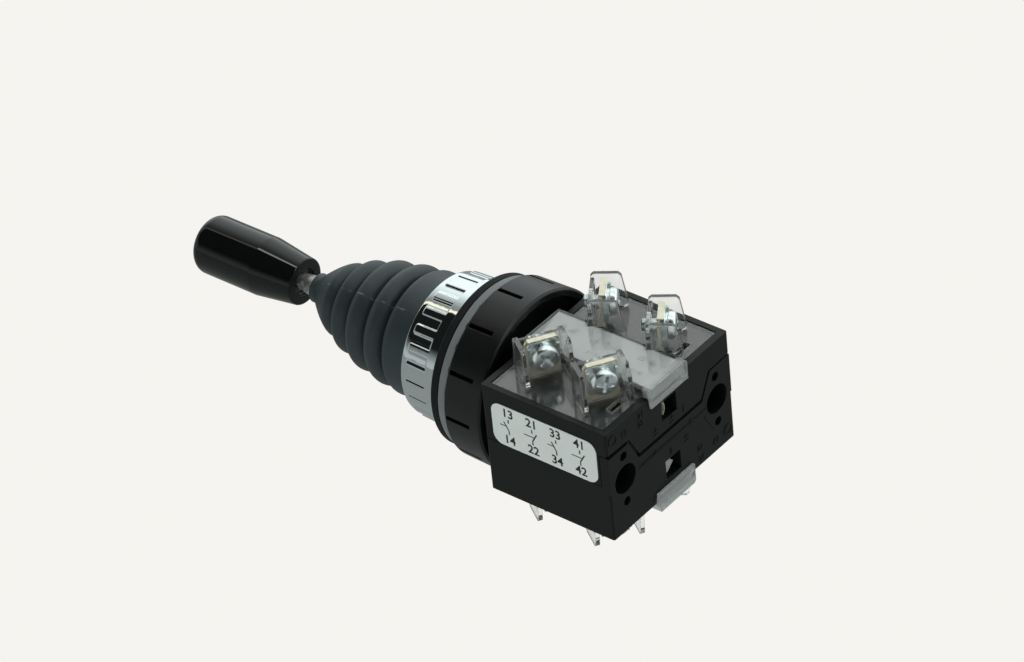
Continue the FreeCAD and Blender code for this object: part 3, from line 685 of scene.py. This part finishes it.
def dome_outline(steps=14):
    """Outer outline from the sleeve to the first crest."""
    top_r, top_y = CRESTS[0]
    inside = SLEEVE_R - SLEEVE_ROUND
    points = [(inside, SLEEVE_FRONT)]
    points += arc(inside, SLEEVE_FRONT + SLEEVE_ROUND, SLEEVE_ROUND, -90, 0, 4)
    points.append((SLEEVE_R, SLEEVE_REAR - 0.15))
    for n in range(steps):
        t = n / steps
        rise = 1 - (1 - t) ** DOME_POWER
        points.append((DOME_START_R + (top_r - DOME_START_R) * rise, SLEEVE_REAR + (top_y - SLEEVE_REAR) * t))
    return points


def seam_angles(count=180):
    """Even angles with close ones added at the two mould lines."""
    found = set(even_angles(count))
    for seam in (SEAM_ANGLE, SEAM_ANGLE + math.pi):
        found = {a for a in found if abs(a - seam) > 2.5 * SEAM_HALF}
        found |= {seam + k * SEAM_HALF for k in (-2.0, -1.0, 0.0, 1.0, 2.0)}
    return sorted(found)


def seam_swell(angle):
    """Height of the mould line at an angle."""
    off = min(abs(angle - SEAM_ANGLE), abs(angle - SEAM_ANGLE - math.pi))
    return SEAM_HEIGHT if off < 0.5 * SEAM_HALF else 0.0


def walled(outer, inset):
    """A closed outline from an outer one and the same moved inward."""
    inner = [(max(r - inset, SLEEVE_BORE), y) for r, y in outer]
    return outer + inner[::-1]


def make_bellows():
    """Both pieces of the bellows, meeting at a valley."""
    front_outer = dome_outline() + fold_outline(0, SPLIT_VALLEY)
    low_r, low_y = valley(SPLIT_VALLEY)
    rear_outer = [(low_r, low_y)] + fold_outline(SPLIT_VALLEY + 1, len(CRESTS) - 1)
    rear_outer += [(SKIRT_R + 0.25, CRESTS[-1][1] + 3.0), (SKIRT_R, BEAD_FRONT - 0.4), (SKIRT_R, BEAD_FRONT),
                   (BEAD_R, BEAD_FRONT), (BEAD_R, BEAD_REAR)]
    pieces = []
    for name, outer in (("bellows_front_folds", front_outer), ("bellows_rear_folds", rear_outer)):
        mesh = lathe(name, walled(outer, BELLOWS_WALL), seam_angles(), swell=seam_swell)
        piece = add_piece(name, mesh, "bellows_rubber")
        smooth(piece, 70.0, weigh=False)
        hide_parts("bellows")
        pieces.append(piece)
    front, rear = pieces
    middle = low_y * MM
    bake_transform(rear)
    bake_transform(front)


def bezel_edge_angles(steps_on_top=4, steps_on_edge=3, steps_between=5):
    """Angles round the bezel, close together at the sides of the teeth."""
    edge = TOOTH_EDGE / BEZEL_REAR_R
    angles = []
    for n in range(TEETH):
        middle = TOOTH_PHASE + n * TOOTH_PITCH
        low = middle - TOOTH_HALF
        high = middle + TOOTH_HALF
        angles += [low - edge + 2 * edge * k / steps_on_edge for k in range(steps_on_edge)]
        angles += [low + edge + (high - low - 2 * edge) * k / steps_on_top for k in range(steps_on_top)]
        angles += [high - edge + 2 * edge * k / steps_on_edge for k in range(steps_on_edge)]
        gap = TOOTH_PITCH - 2 * TOOTH_HALF - 2 * edge
        angles += [high + edge + gap * k / steps_between for k in range(steps_between)]
    return angles


def bezel_relief(angle, y):
    """Height of the raised pattern: teeth that point forward from a raised rear band."""
    half_pitch = TOOTH_PITCH / 2
    off = abs((angle - TOOTH_PHASE + half_pitch) % TOOTH_PITCH - half_pitch) * BEZEL_REAR_R
    half = TOOTH_HALF * BEZEL_REAR_R
    corner = 0.5
    across = off - half
    along = TOOTH_FRONT - y
    if across > -corner and along > -corner:
        outside = math.hypot(across + corner, along + corner) - corner
    else:
        outside = max(across, along)
    tooth = 0.5 - outside / (2 * TOOTH_EDGE)
    band = 0.5 + (y - TOOTH_ROOT) / (2 * TOOTH_EDGE)
    share = max(0.0, min(1.0, max(tooth, band)))
    return TOOTH_HEIGHT * share * share * (3 - 2 * share)


def make_bezel():
    """Bright ring with forward-pointing teeth, a raised band and a smooth rear lip."""
    slope = (BEZEL_REAR_R - BEZEL_FRONT_R) / (BEZEL_CONE_END - BEZEL_FRONT)
    nose = arc(BEZEL_FRONT_R - BEZEL_FRONT_ROUND, BEZEL_FRONT + BEZEL_FRONT_ROUND, BEZEL_FRONT_ROUND,
               -90, 0, 6)
    rows = [(r, y, 0.0) for r, y in nose]
    fine = 0.14
    marks = [BEZEL_FRONT + 0.9, TOOTH_FRONT - 0.45]
    marks += [TOOTH_FRONT - 0.4 + fine * k for k in range(10)]
    marks += [TOOTH_FRONT + 1.0 + k * (TOOTH_ROOT - TOOTH_FRONT - 1.6) / 5 for k in range(1, 6)]
    marks += [TOOTH_ROOT - 0.35 + fine * k for k in range(6)]
    marks += [TOOTH_ROOT + 0.9, BEZEL_CONE_END - 0.5, BEZEL_CONE_END - 0.25]
    for y in marks:
        rows.append((BEZEL_FRONT_R + slope * (y - BEZEL_FRONT), y, 1.0))
    groove_r = BEZEL_REAR_R - 0.05
    rows += [(groove_r, BEZEL_CONE_END - 0.05, 0.0), (groove_r, BEZEL_CONE_END + 0.1, 0.0)]
    lip = arc(BEZEL_LIP_R - BEZEL_LIP_ROUND, BEZEL_CONE_END + 0.6, BEZEL_LIP_ROUND, -90, 0, 5)
    lip += arc(BEZEL_LIP_R - BEZEL_REAR_ROUND, BEZEL_REAR - BEZEL_REAR_ROUND, BEZEL_REAR_ROUND, 0, 90, 4)
    rows += [(r, y, 0.0) for r, y in lip]
    rows += [(BEZEL_INNER_R, BEZEL_REAR, 0.0), (BEZEL_INNER_R, BEZEL_SHOULDER, 0.0),
             (BEZEL_MOUTH_R, BEZEL_SHOULDER, 0.0), (BEZEL_MOUTH_R, BEZEL_FRONT + 0.2, 0.0),
             (BEZEL_MOUTH_R + 0.2, BEZEL_FRONT, 0.0)]
    angles = bezel_edge_angles()
    bm = bmesh.new()
    rings = []
    for radius, y, raised in rows:
        rings.append([bm.verts.new(ring_point(radius + raised * bezel_relief(a, y), y, a)) for a in angles])
    skin(bm, rings + rings[:1])
    mesh = finished_mesh(bm, "bezel_ring_bright")
    piece = add_piece("bezel_ring_bright", mesh, "chrome", "housing")
    smooth(piece, 60.0, weigh=False)
    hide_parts("bezel_ring")


def terminal_frames(flip):
    """Place matrices of the terminals of one half, in millimetres, with flip -1 for the lower half."""
    turn = Matrix.Rotation(-TERMINAL_TURN, 4, "Z")
    found = []
    for side in (1, -1):
        for row in (0, 1):
            shift = Matrix.Translation((TERMINAL_ACROSS, TERMINAL_FIRST_Y + row * TERMINAL_PITCH, 0))
            found.append(Matrix.Diagonal((side, 1, flip, 1)) @ shift @ turn)
    return found


def recess_depth(radius, angle):
    """Depth of the cross recess at a place on the screw head."""
    x, z = radius * math.cos(angle), radius * math.sin(angle)
    along = max(abs(x), abs(z))
    across = min(abs(x), abs(z))
    wall = max(across - RECESS_HALF + RECESS_TAPER * along, along - RECESS_REACH)
    if radius < RECESS_MIDDLE_R:
        wall = min(wall, radius - RECESS_MIDDLE_R)
    share = max(0.0, min(1.0, 0.5 - wall / RECESS_EDGE))
    return (RECESS_DEPTH - RECESS_SLOPE * radius) * share


def screw_point(place, radius, y, angle):
    """A point round a screw's axis in the frame of its terminal."""
    return place @ Vector((radius * math.cos(angle), y, SCREW_Z + radius * math.sin(angle))) * MM


def screw_mesh(name, places):
    """Pan head screws with a cross recess and a threaded shank, one at each place."""
    angles = even_angles(96)
    radii = [0.085 * n for n in range(27)] + [2.5, 2.8, 3.05]
    bm = bmesh.new()
    for spin, place in enumerate(places, 1):
        rings = []
        for r in radii:
            crown = SCREW_HEAD_TOP - SCREW_CROWN * (r / SCREW_HEAD_R) ** 2
            ring = []
            for a in angles:
                top = crown - recess_depth(r, a + RECESS_TURN * spin)
                ring.append(bm.verts.new(screw_point(place, r, top, a)))
            rings.append(ring)
        side = [(3.28, 4.02), (3.42, 3.82), (SCREW_HEAD_R, 3.55), (SCREW_HEAD_R, SCREW_HEAD_LOW + 0.15),
                (SCREW_HEAD_R - 0.15, SCREW_HEAD_LOW), (SCREW_SHANK_R, SCREW_HEAD_LOW)]
        y = SCREW_HEAD_LOW - 0.3
        while y > SCREW_END + 0.5:
            side += [(SCREW_SHANK_R, y), (SCREW_SHANK_R - THREAD_DEPTH, y - 0.25), (SCREW_SHANK_R, y - 0.5)]
            y -= THREAD_PITCH
        side += [(SCREW_SHANK_R - 0.35, SCREW_END), (AXIS_R, SCREW_END)]
        for r, y in side:
            rings.append([bm.verts.new(screw_point(place, r, y, a)) for a in angles])
        for n, face in enumerate(skin(bm, rings)):
            ring, m = divmod(n, len(angles))
            if ring < len(radii):
                # Faces deep in the cross recess take the second material, a painted shade
                depth = recess_depth(radii[ring], angles[m] + RECESS_TURN * spin)
                face.material_index = 1 if depth > RECESS_SHADE_DEPTH else 0
        bm.faces.new(rings[-1])
    return finished_mesh(bm, name, weld=True)


def lip_parts(places):
    """Thick lips along the tops of the contact strips, one at each place."""
    bar = plate_mesh("lip", round_corners(*LIP_OUTLINE, 3), LIP_HEIGHT)
    return [(bar, place @ Matrix.Translation((0, 0, LIP_LOW))) for place in places]


def plate_mesh(name, corners, depth):
    """A thin plate from an outline in its own plane, with its thickness along +Z."""
    bm = bmesh.new()
    slab(bm, corners, depth)
    return finished_mesh(bm, name)


def round_corners(x0, x1, y0, y1, radius, steps=8):
    """Outline of a rounded rectangle."""
    points = []
    for cx, cy, start in ((x1 - radius, y1 - radius, 0), (x0 + radius, y1 - radius, 90),
                          (x0 + radius, y0 + radius, 180), (x1 - radius, y0 + radius, 270)):
        points += arc(cx, cy, radius, start, start + 90, steps)
    return points


def digit_mesh(text, height, depth):
    """Plain numbers as a mesh, standing on their middle in the XY plane."""
    curve = bpy.data.curves.new("digits", "FONT")
    curve.body = text
    curve.size = height * FIGURE_SIZE
    curve.extrude = depth / 2
    curve.offset = FIGURE_WEIGHT * height
    curve.align_x = "CENTER"
    curve.align_y = "CENTER"
    holder = in_scene("digits", curve)
    bpy.context.view_layer.update()
    mesh = bpy.data.meshes.new_from_object(holder.evaluated_get(bpy.context.evaluated_depsgraph_get()))
    bpy.data.objects.remove(holder)
    return mesh


def side_plane(y, z):
    """From a drawing's plane to the +X side, with its middle at y and z."""
    turn = Matrix(((0, 0, 1, 0), (1, 0, 0, 0), (0, 1, 0, 0), (0, 0, 0, 1)))
    return Matrix.Translation((SIDE_FACE, y, z)) @ turn


def rear_plane(x, z):
    """From a drawing's plane to the rear face, read from behind."""
    turn = Matrix(((-1, 0, 0, 0), (0, 0, 1, 0), (0, 1, 0, 0), (0, 0, 0, 1)))
    return Matrix.Translation((x, REAR_FACE, z)) @ turn


def bars_mesh(name, bars, depth):
    """Thin straight bars in a plane, each as (x0, y0, x1, y1, width)."""
    bm = bmesh.new()
    for x0, y0, x1, y1, width in bars:
        run = Vector((x1 - x0, y1 - y0))
        side = Vector((-run.y, run.x)).normalized() * width / 2
        start, end = Vector((x0, y0)), Vector((x1, y1))
        slab(bm, [start + side, end + side, end - side, start - side], depth)
    return finished_mesh(bm, name)


def joined(name, parts):
    """One mesh from several meshes, each moved by its own matrix in millimetres."""
    bm = bmesh.new()
    scale = Matrix.Scale(MM, 4)
    for mesh, place in parts:
        copy = mesh.copy()
        copy.transform(scale @ place)
        bm.from_mesh(copy)
        bpy.data.meshes.remove(copy)
    return finished_mesh(bm, name, outward=False)


def add_joined(name, parts, slot, material=None):
    """A new piece on the housing, joined from parts."""
    return add_piece(name, joined(name, parts), slot, "housing", material)


def number(text, height, depth, lie, x=0.0, y=0.0):
    """Numbers as a part to join, at a place in a drawing's plane."""
    return digit_mesh(text, height, depth), lie @ Matrix.Translation((x, y, depth / 2))


def make_label():
    """Pale label on the side with a plain contact diagram and numbers."""
    half_y, half_z = (LABEL[1] - LABEL[0]) / 2, (LABEL[3] - LABEL[2]) / 2
    outline = round_corners(-half_y, half_y, -half_z, half_z, LABEL_CORNER)
    lie = side_plane(*LABEL_MIDDLE)
    plate = plate_mesh("film", outline, LABEL_THICKNESS)
    film = add_joined("side_label_film", [(plate, lie)], "label_face")
    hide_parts("side_label")
    lie = lie @ Matrix.Translation((0, 0, LABEL_THICKNESS))
    parts = []
    for n, (top, low) in enumerate((("13", "14"), ("21", "22"), ("33", "34"), ("41", "42"))):
        x = LABEL_PITCH * (n - 1.5)
        for text, y in ((top, LABEL_NUMBER_Y), (low, -LABEL_NUMBER_Y)):
            parts.append(number(text, LABEL_NUMBER, INK_DEPTH, lie, x, y))
        slant = 1.5 if n % 2 else -1.5
        bars = [(x, 2.5, x, 1.3, 0.4), (x, -2.5, x, -1.2, 0.4), (x, -1.2, x + slant, 1.4, 0.4),
                (x - 2.8, 0.1, x + slant / 2, 0.1, 0.3)]
        parts.append((bars_mesh("symbol", bars, INK_DEPTH), lie))
    add_joined("side_label_print", parts, "label_face", "label_print")


def ring_bars(x, z, radius, width, sides=12):
    """Bars round a circle in the rear face's drawing."""
    points = arc(x, z, radius, 0, 360, sides)
    return [(*start, *end, width) for start, end in zip(points, points[1:])]


def arrow_bars(x, z, way):
    """A slim arrow head made of shortening bars, pointing along the drawing's x."""
    return [(x + way * 0.35 * n, z - 0.75 + 0.18 * n, x + way * 0.35 * n, z + 0.75 - 0.18 * n, 0.36)
            for n in range(5)]


def make_rear_marks():
    """Plain raised numbers, rings, arrows and contact symbols, and strips of painted shade along the parting
    groove.
    """
    parts = []
    for text, height, x, z in REAR_NUMBERS:
        parts.append(number(text, height, MARK_DEPTH, rear_plane(x, z)))
    bars = []
    for x, z in REAR_SYMBOLS:
        bars += [(-x - 0.9, z + step, -x + 0.9, z + step, 0.3) for step in (0.6, -0.6)]
        bars.append((-x, z + 0.6, -x, z + 1.5, 0.3))
    for x, z in REAR_RINGS:
        bars += ring_bars(-x, z, 1.55, 0.3)
    bars += arrow_bars(-6.6, -1.1, -1) + arrow_bars(8.1, -0.9, 1)
    bars += [(-12.7, -1.0, 15.4, -1.2, 0.3), (14.2, -3.4, 18.0, -9.9, 0.4)]
    parts.append((bars_mesh("symbols", bars, MARK_DEPTH), rear_plane(0, 0)))
    add_joined("rear_raised_marks", parts, "block_black")
    # Painted shade: near-black strips standing 0.03 mm proud of the rear face along the parting groove
    shade = bars_mesh("shade", [(-13.3, 2.5, 13.3, 2.5, 1.0), (-25.8, 9.6, -17.9, 9.6, 0.9)], 0.03)
    add_joined("parting_shade", [(shade, rear_plane(0, 0))], "block_black", "groove_shade")


def make_window_parts():
    """What shows in the two windows: a brass contact leaf above, a pale slider below."""
    behind = Matrix.Translation((0, -WINDOW_DEPTH, 0))
    leaf = plate_mesh("leaf", round_corners(-3.0, -0.9, -2.3, 2.4, 1.0), 0.3)
    bends = [(-1.0, 1.9, -0.5, 0.6, 0.3), (-0.5, 0.6, -0.6, -0.9, 0.3), (-0.6, -0.9, -1.3, -2.1, 0.3)]
    fold = bars_mesh("fold", bends, 1.1)
    upper = behind @ rear_plane(0, 9.3)
    add_joined("window_contact_leaf", [(leaf, upper), (fold, upper)], "brass")
    outline = [(-3.0, 2.4), (-0.2, 1.7), (1.6, -0.2), (-0.9, -2.3), (-3.0, -2.6)]
    slider = plate_mesh("slider", outline, 0.8)
    add_joined("window_slider", [(slider, behind @ rear_plane(0, -9.6))], "plunger_plastic")


def make_bar_numbers():
    """Plain raised numbers on the clear label bars."""
    for half, flip in HALVES:
        lie = Matrix(((0, -flip, 0, 0), (1, 0, 0, 0), (0, 0, flip, flip * BAR_TOP), (0, 0, 0, 1)))
        parts = []
        for text, y in (("13  21", 25.0), ("1 - 0 - 2", 38.0), ("33  41", 51.0)):
            parts.append(number(text, 1.7, BAR_MARK_DEPTH, lie, y, 1.8))
            parts.append(number(text, 1.3, BAR_MARK_DEPTH, lie, y, -3.2))
        add_joined(half + "_bar_numbers", parts, "clear_plastic")


class JoystickCamera(bpy.types.PropertyGroup):
    """Where the camera stands and what lens it has."""

    focal: FloatProperty(name="Focal length", description="Lens for a 36 mm sensor",
                         default=FOCAL_PIXELS / PHOTO_WIDTH * SENSOR_WIDTH)
    position: FloatVectorProperty(name="Position", description="Where the camera stands",
                                  default=tuple(CAMERA_AT * MM), unit="LENGTH", subtype="TRANSLATION")


class JoystickStage(bpy.types.PropertyGroup):
    """Sizes and colours of the floor and the light."""

    background: FloatVectorProperty(name="Background",
                                    description="Colour of the pale floor and surroundings",
                                    default=BACKGROUND, subtype="COLOR", min=0.0, max=1.0)
    floor_drop: FloatProperty(name="Floor drop", description="How far the floor lies below the lowest point",
                              default=FLOOR_DROP, unit="LENGTH")
    lamp_watts: FloatProperty(name="Lamp", description="Power of the overhead panel lamp",
                              default=6.0, unit="POWER")
    fill_watts: FloatProperty(name="Fill", description="Power of the low lamp on the label side",
                              default=3.3, unit="POWER")
    light_low: FloatProperty(name="Low light", description="Soft light from the horizon", default=0.35)
    light_high: FloatProperty(name="High light", description="Soft light from above on the left",
                              default=1.0)
    light_right: FloatProperty(name="Right light", description="Soft light from above on the right",
                               default=0.12)


class JoystickBuildStage(bpy.types.Operator):
    """Floor, surroundings, two lamps and the camera"""

    bl_idname = "joystick.build_stage"
    bl_label = "Stage"

    def execute(self, context):
        build_floor(context.scene.joystick_stage)
        build_world(context.scene.joystick_stage)
        build_lamps(context.scene.joystick_stage)
        build_camera(context.scene.joystick_camera)
        return {"FINISHED"}


def build_floor(stage):
    """A wide pale floor that the camera and clear plastic see evenly pale."""
    low, _ = cad_box
    z = low.z - stage.floor_drop
    bm = bmesh.new()
    corners = ((-1, -1), (1, -1), (1, 1), (-1, 1))
    bm.faces.new([bm.verts.new((FLOOR_HALF * x, FLOOR_HALF * y, z)) for x, y in corners])
    mesh = finished_mesh(bm, "floor", outward=False)
    floor = in_scene("floor", mesh)
    material = bpy.data.materials.new("pale_floor")
    bench = Bench(material)
    path, seen = bench.rays()
    paper = bench.node("ShaderNodeBsdfDiffuse", None, {"Color": colour(*PAPER)})
    even = bench.node("ShaderNodeEmission", None, {"Color": colour(*stage.background), "Strength": 1.0})
    mirrored = bench.node("ShaderNodeEmission", None, {"Color": colour(*COOL), "Strength": PAPER_MIRRORED})
    glossy = path.pick("Is Glossy Ray") * PAPER_MIRROR_SHARE
    sheet = bench.node("ShaderNodeMixShader", None, {0: glossy, 1: paper, 2: mirrored})
    blend = bench.node("ShaderNodeMixShader", None, {0: seen * EVEN_SHARE, 1: sheet, 2: even})
    bench.node("ShaderNodeOutputMaterial", None, {"Surface": blend})
    mesh.materials.append(material)


def build_world(stage):
    """Pale to the camera. A mirror sees it bright on the left and dark above on the right."""
    world = bpy.data.worlds.new("studio")
    bpy.context.scene.world = world
    bench = Bench(world)

    def flat(light, strength):
        return bench.node("ShaderNodeBackground", None, {"Color": colour(*light), "Strength": strength})

    def blend(share, first, second):
        return bench.node("ShaderNodeMixShader", None, {0: share, 1: first, 2: second})

    across = bench.axis("X", bench.node("ShaderNodeTexCoord", output="Generated"))
    height = across.pick("Z")
    right = blend(height.step(0.0, 0.38), flat(COOL, RIGHT_LOW), flat(COOL, RIGHT_HIGH))
    left = blend(across.step(-0.6, -0.04), flat(COOL, LEFT_FAR), flat(COOL, LEFT_NEAR))
    mirrored = blend(across.step(-0.02, 0.03), left, right)
    near = across.pick("Y").step(-0.50, -0.40)
    off_streak = abs(across - STREAK_AT) - near * STREAK_WIDER
    streak = (1.0 - off_streak.step(STREAK_CORE, STREAK_EDGE)) * height.step(0.2, 0.3)
    mirrored = blend(streak, mirrored, blend(near, flat(WARM, STREAK_WARM), flat(COOL, STREAK_COOL)))
    low = flat(COOL, stage.light_low)
    soft_left = blend(height.step(-0.10, 0.6), low, flat(COOL, stage.light_high))
    soft_right = blend(height.step(-0.05, 0.5), low, flat(COOL, stage.light_right))
    soft = blend(across.step(-0.25, 0.25), soft_left, soft_right)
    soft = blend(across.pick("Y").step(-0.3, 0.7) * BEHIND_SHARE, soft, flat(COOL, BEHIND_LIGHT))
    path, seen = bench.rays()
    lit = blend(path.pick("Is Glossy Ray"), soft, mirrored)
    shown = blend(seen, lit, flat(tuple(stage.background), 1.0))
    bench.node("ShaderNodeOutputWorld", None, {"Surface": shown})


def build_lamps(stage):
    """A large panel lamp above on the left, and a low one that fills the label side."""
    for name, place, size, watts in (("overhead_panel", PANEL_AT, PANEL_SIZE, stage.lamp_watts),
                                     ("side_fill", FILL_AT, FILL_SIZE, stage.fill_watts)):
        lamp = bpy.data.lights.new(name, "AREA")
        lamp.shape = "RECTANGLE"
        lamp.size, lamp.size_y = size
        lamp.energy = watts
        holder = in_scene(name, lamp)
        holder.location = place
        holder.rotation_euler = (-place).to_track_quat("-Z", "Y").to_euler()
        holder.visible_glossy = False
        holder.visible_transmission = False


def build_camera(settings):
    """The camera of the main picture."""
    camera = bpy.data.cameras.new("camera")
    camera.lens = settings.focal
    camera.sensor_width = SENSOR_WIDTH
    camera.clip_start = 0.01
    camera.clip_end = 50.0
    holder = in_scene("camera", camera)
    right = CAMERA_RIGHT.normalized()
    back = (-CAMERA_FORWARD).normalized()
    up = back.cross(right)
    holder.matrix_world = Matrix((
        (right.x, up.x, back.x, settings.position[0]),
        (right.y, up.y, back.y, settings.position[1]),
        (right.z, up.z, back.z, settings.position[2]),
        (0, 0, 0, 1)))
    bpy.context.scene.camera = holder
    bpy.context.scene.view_settings.view_transform = "Standard"


class JoystickBuildGrip(bpy.types.Operator):
    """Polished grip with its recessed face, and the insert inside it"""

    bl_idname = "joystick.build_grip"
    bl_label = "Grip"

    def execute(self, context):
        mesh = lathe("handle_grip_turned", grip_outline(), even_angles(160), closed=False)
        piece = add_piece("handle_grip_turned", mesh, "grip_plastic", "lever")
        smooth(piece, 35.0)
        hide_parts("handle_grip")
        dress("grip_insert")
        return {"FINISHED"}


class JoystickBuildLever(bpy.types.Operator):
    """Finish of the lever rod and the two-axis hinge on it"""

    bl_idname = "joystick.build_lever"
    bl_label = "Lever and hinges"

    def execute(self, context):
        dress("lever_rod", "pivot_hub", "hub_pins", "gimbal_ring", "gimbal_pins", "actuator_disc",
              "disc_nut", "centering_spring")
        return {"FINISHED"}


class JoystickBuildBellows(bpy.types.Operator):
    """Rubber bellows with rounded folds and mould lines"""

    bl_idname = "joystick.build_bellows"
    bl_label = "Bellows"

    def execute(self, context):
        dress("bellows")
        make_bellows()
        return {"FINISHED"}


class JoystickBuildBezel(bpy.types.Operator):
    """Bright bezel ring with its teeth"""

    bl_idname = "joystick.build_bezel"
    bl_label = "Bezel ring"

    def execute(self, context):
        dress("bezel_ring")
        make_bezel()
        return {"FINISHED"}


class JoystickBuildMounting(bpy.types.Operator):
    """Finish of the gasket, washer, nut, mounting body and adapter"""

    bl_idname = "joystick.build_mounting"
    bl_label = "Mounting"

    def execute(self, context):
        dress("panel_gasket", "anti_rotation_washer", "locking_nut", "mounting_body", "adapter_plate")
        return {"FINISHED"}


class JoystickBuildBlock(bpy.types.Operator):
    """Contact block halves with their raised marks and the label"""

    bl_idname = "joystick.build_block"
    bl_label = "Contact block"

    def execute(self, context):
        dress("upper_block_half", "lower_block_half", "block_fixing_screws", "side_label")
        make_label()
        make_rear_marks()
        make_window_parts()
        return {"FINISHED"}


class JoystickBuildCovers(bpy.types.Operator):
    """Clear covers and the cards under their label bars"""

    bl_idname = "joystick.build_covers"
    bl_label = "Clear covers"

    def execute(self, context):
        for half, _ in HALVES:
            dress(half + "_clear_cover", half + "_label_card")
            cover = frame["nodes"][half + "_clear_cover"]
            weld = cover.modifiers.new("weld", "WELD")
            weld.merge_threshold = COVER_WELD
            edge = cover.modifiers.new("edge", "BEVEL")
            edge.width = COVER_EDGE
            edge.segments = 3
            edge.limit_method = "ANGLE"
            edge.angle_limit = math.radians(35.0)
        make_bar_numbers()
        return {"FINISHED"}


class JoystickBuildTerminals(bpy.types.Operator):
    """Strips with their lips, clamps and pan head screws of the eight terminals"""

    bl_idname = "joystick.build_terminals"
    bl_label = "Terminals"

    def execute(self, context):
        for half, flip in HALVES:
            places = terminal_frames(flip)
            dress(half + "_terminal_strips", half + "_terminal_clamps", half + "_terminal_screws")
            name = half + "_cross_head_screws"
            piece = add_piece(name, screw_mesh(name, places), "zinc_plate", "housing")
            # Second material: painted shade on the deep faces of the cross recesses
            piece.data.materials.append(finish_of("painted_recess_shade"))
            smooth(piece, 40.0)
            add_joined(half + "_strip_lips", lip_parts(places), "brass")
            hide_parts(half + "_terminal_screws")
        return {"FINISHED"}


class JoystickBuildMechanism(bpy.types.Operator):
    """Finish of the plungers, bridges and return springs"""

    bl_idname = "joystick.build_mechanism"
    bl_label = "Mechanism"

    def execute(self, context):
        dress("return_springs")
        for way in ("up", "down", "left", "right"):
            dress("plunger_" + way, "contact_bridge_" + way)
        return {"FINISHED"}


OPERATORS = (JoystickBuildStage, JoystickBuildGrip, JoystickBuildLever, JoystickBuildBellows,
             JoystickBuildBezel, JoystickBuildMounting, JoystickBuildBlock, JoystickBuildCovers,
             JoystickBuildTerminals, JoystickBuildMechanism)


class JoystickPanel(bpy.types.Panel):
    """Lists the builders of the joystick"""

    bl_idname = "VIEW3D_PT_joystick"
    bl_label = "Joystick"
    bl_space_type = "VIEW_3D"
    bl_region_type = "UI"
    bl_category = "Joystick"

    def draw(self, context):
        for operator in OPERATORS:
            self.layout.operator(operator.bl_idname)


CLASSES = (JoystickCamera, JoystickStage) + OPERATORS + (JoystickPanel,)


def register():
    for cls in CLASSES:
        bpy.utils.register_class(cls)
    bpy.types.Scene.joystick_camera = PointerProperty(type=JoystickCamera)
    bpy.types.Scene.joystick_stage = PointerProperty(type=JoystickStage)


def unregister():
    del bpy.types.Scene.joystick_stage
    del bpy.types.Scene.joystick_camera
    for cls in reversed(CLASSES):
        bpy.utils.unregister_class(cls)


def main():
    """Build everything in order."""
    register()
    for operator in OPERATORS:
        group, name = operator.bl_idname.split(".")
        getattr(getattr(bpy.ops, group), name)()


if __name__ == "__main__":
    main()
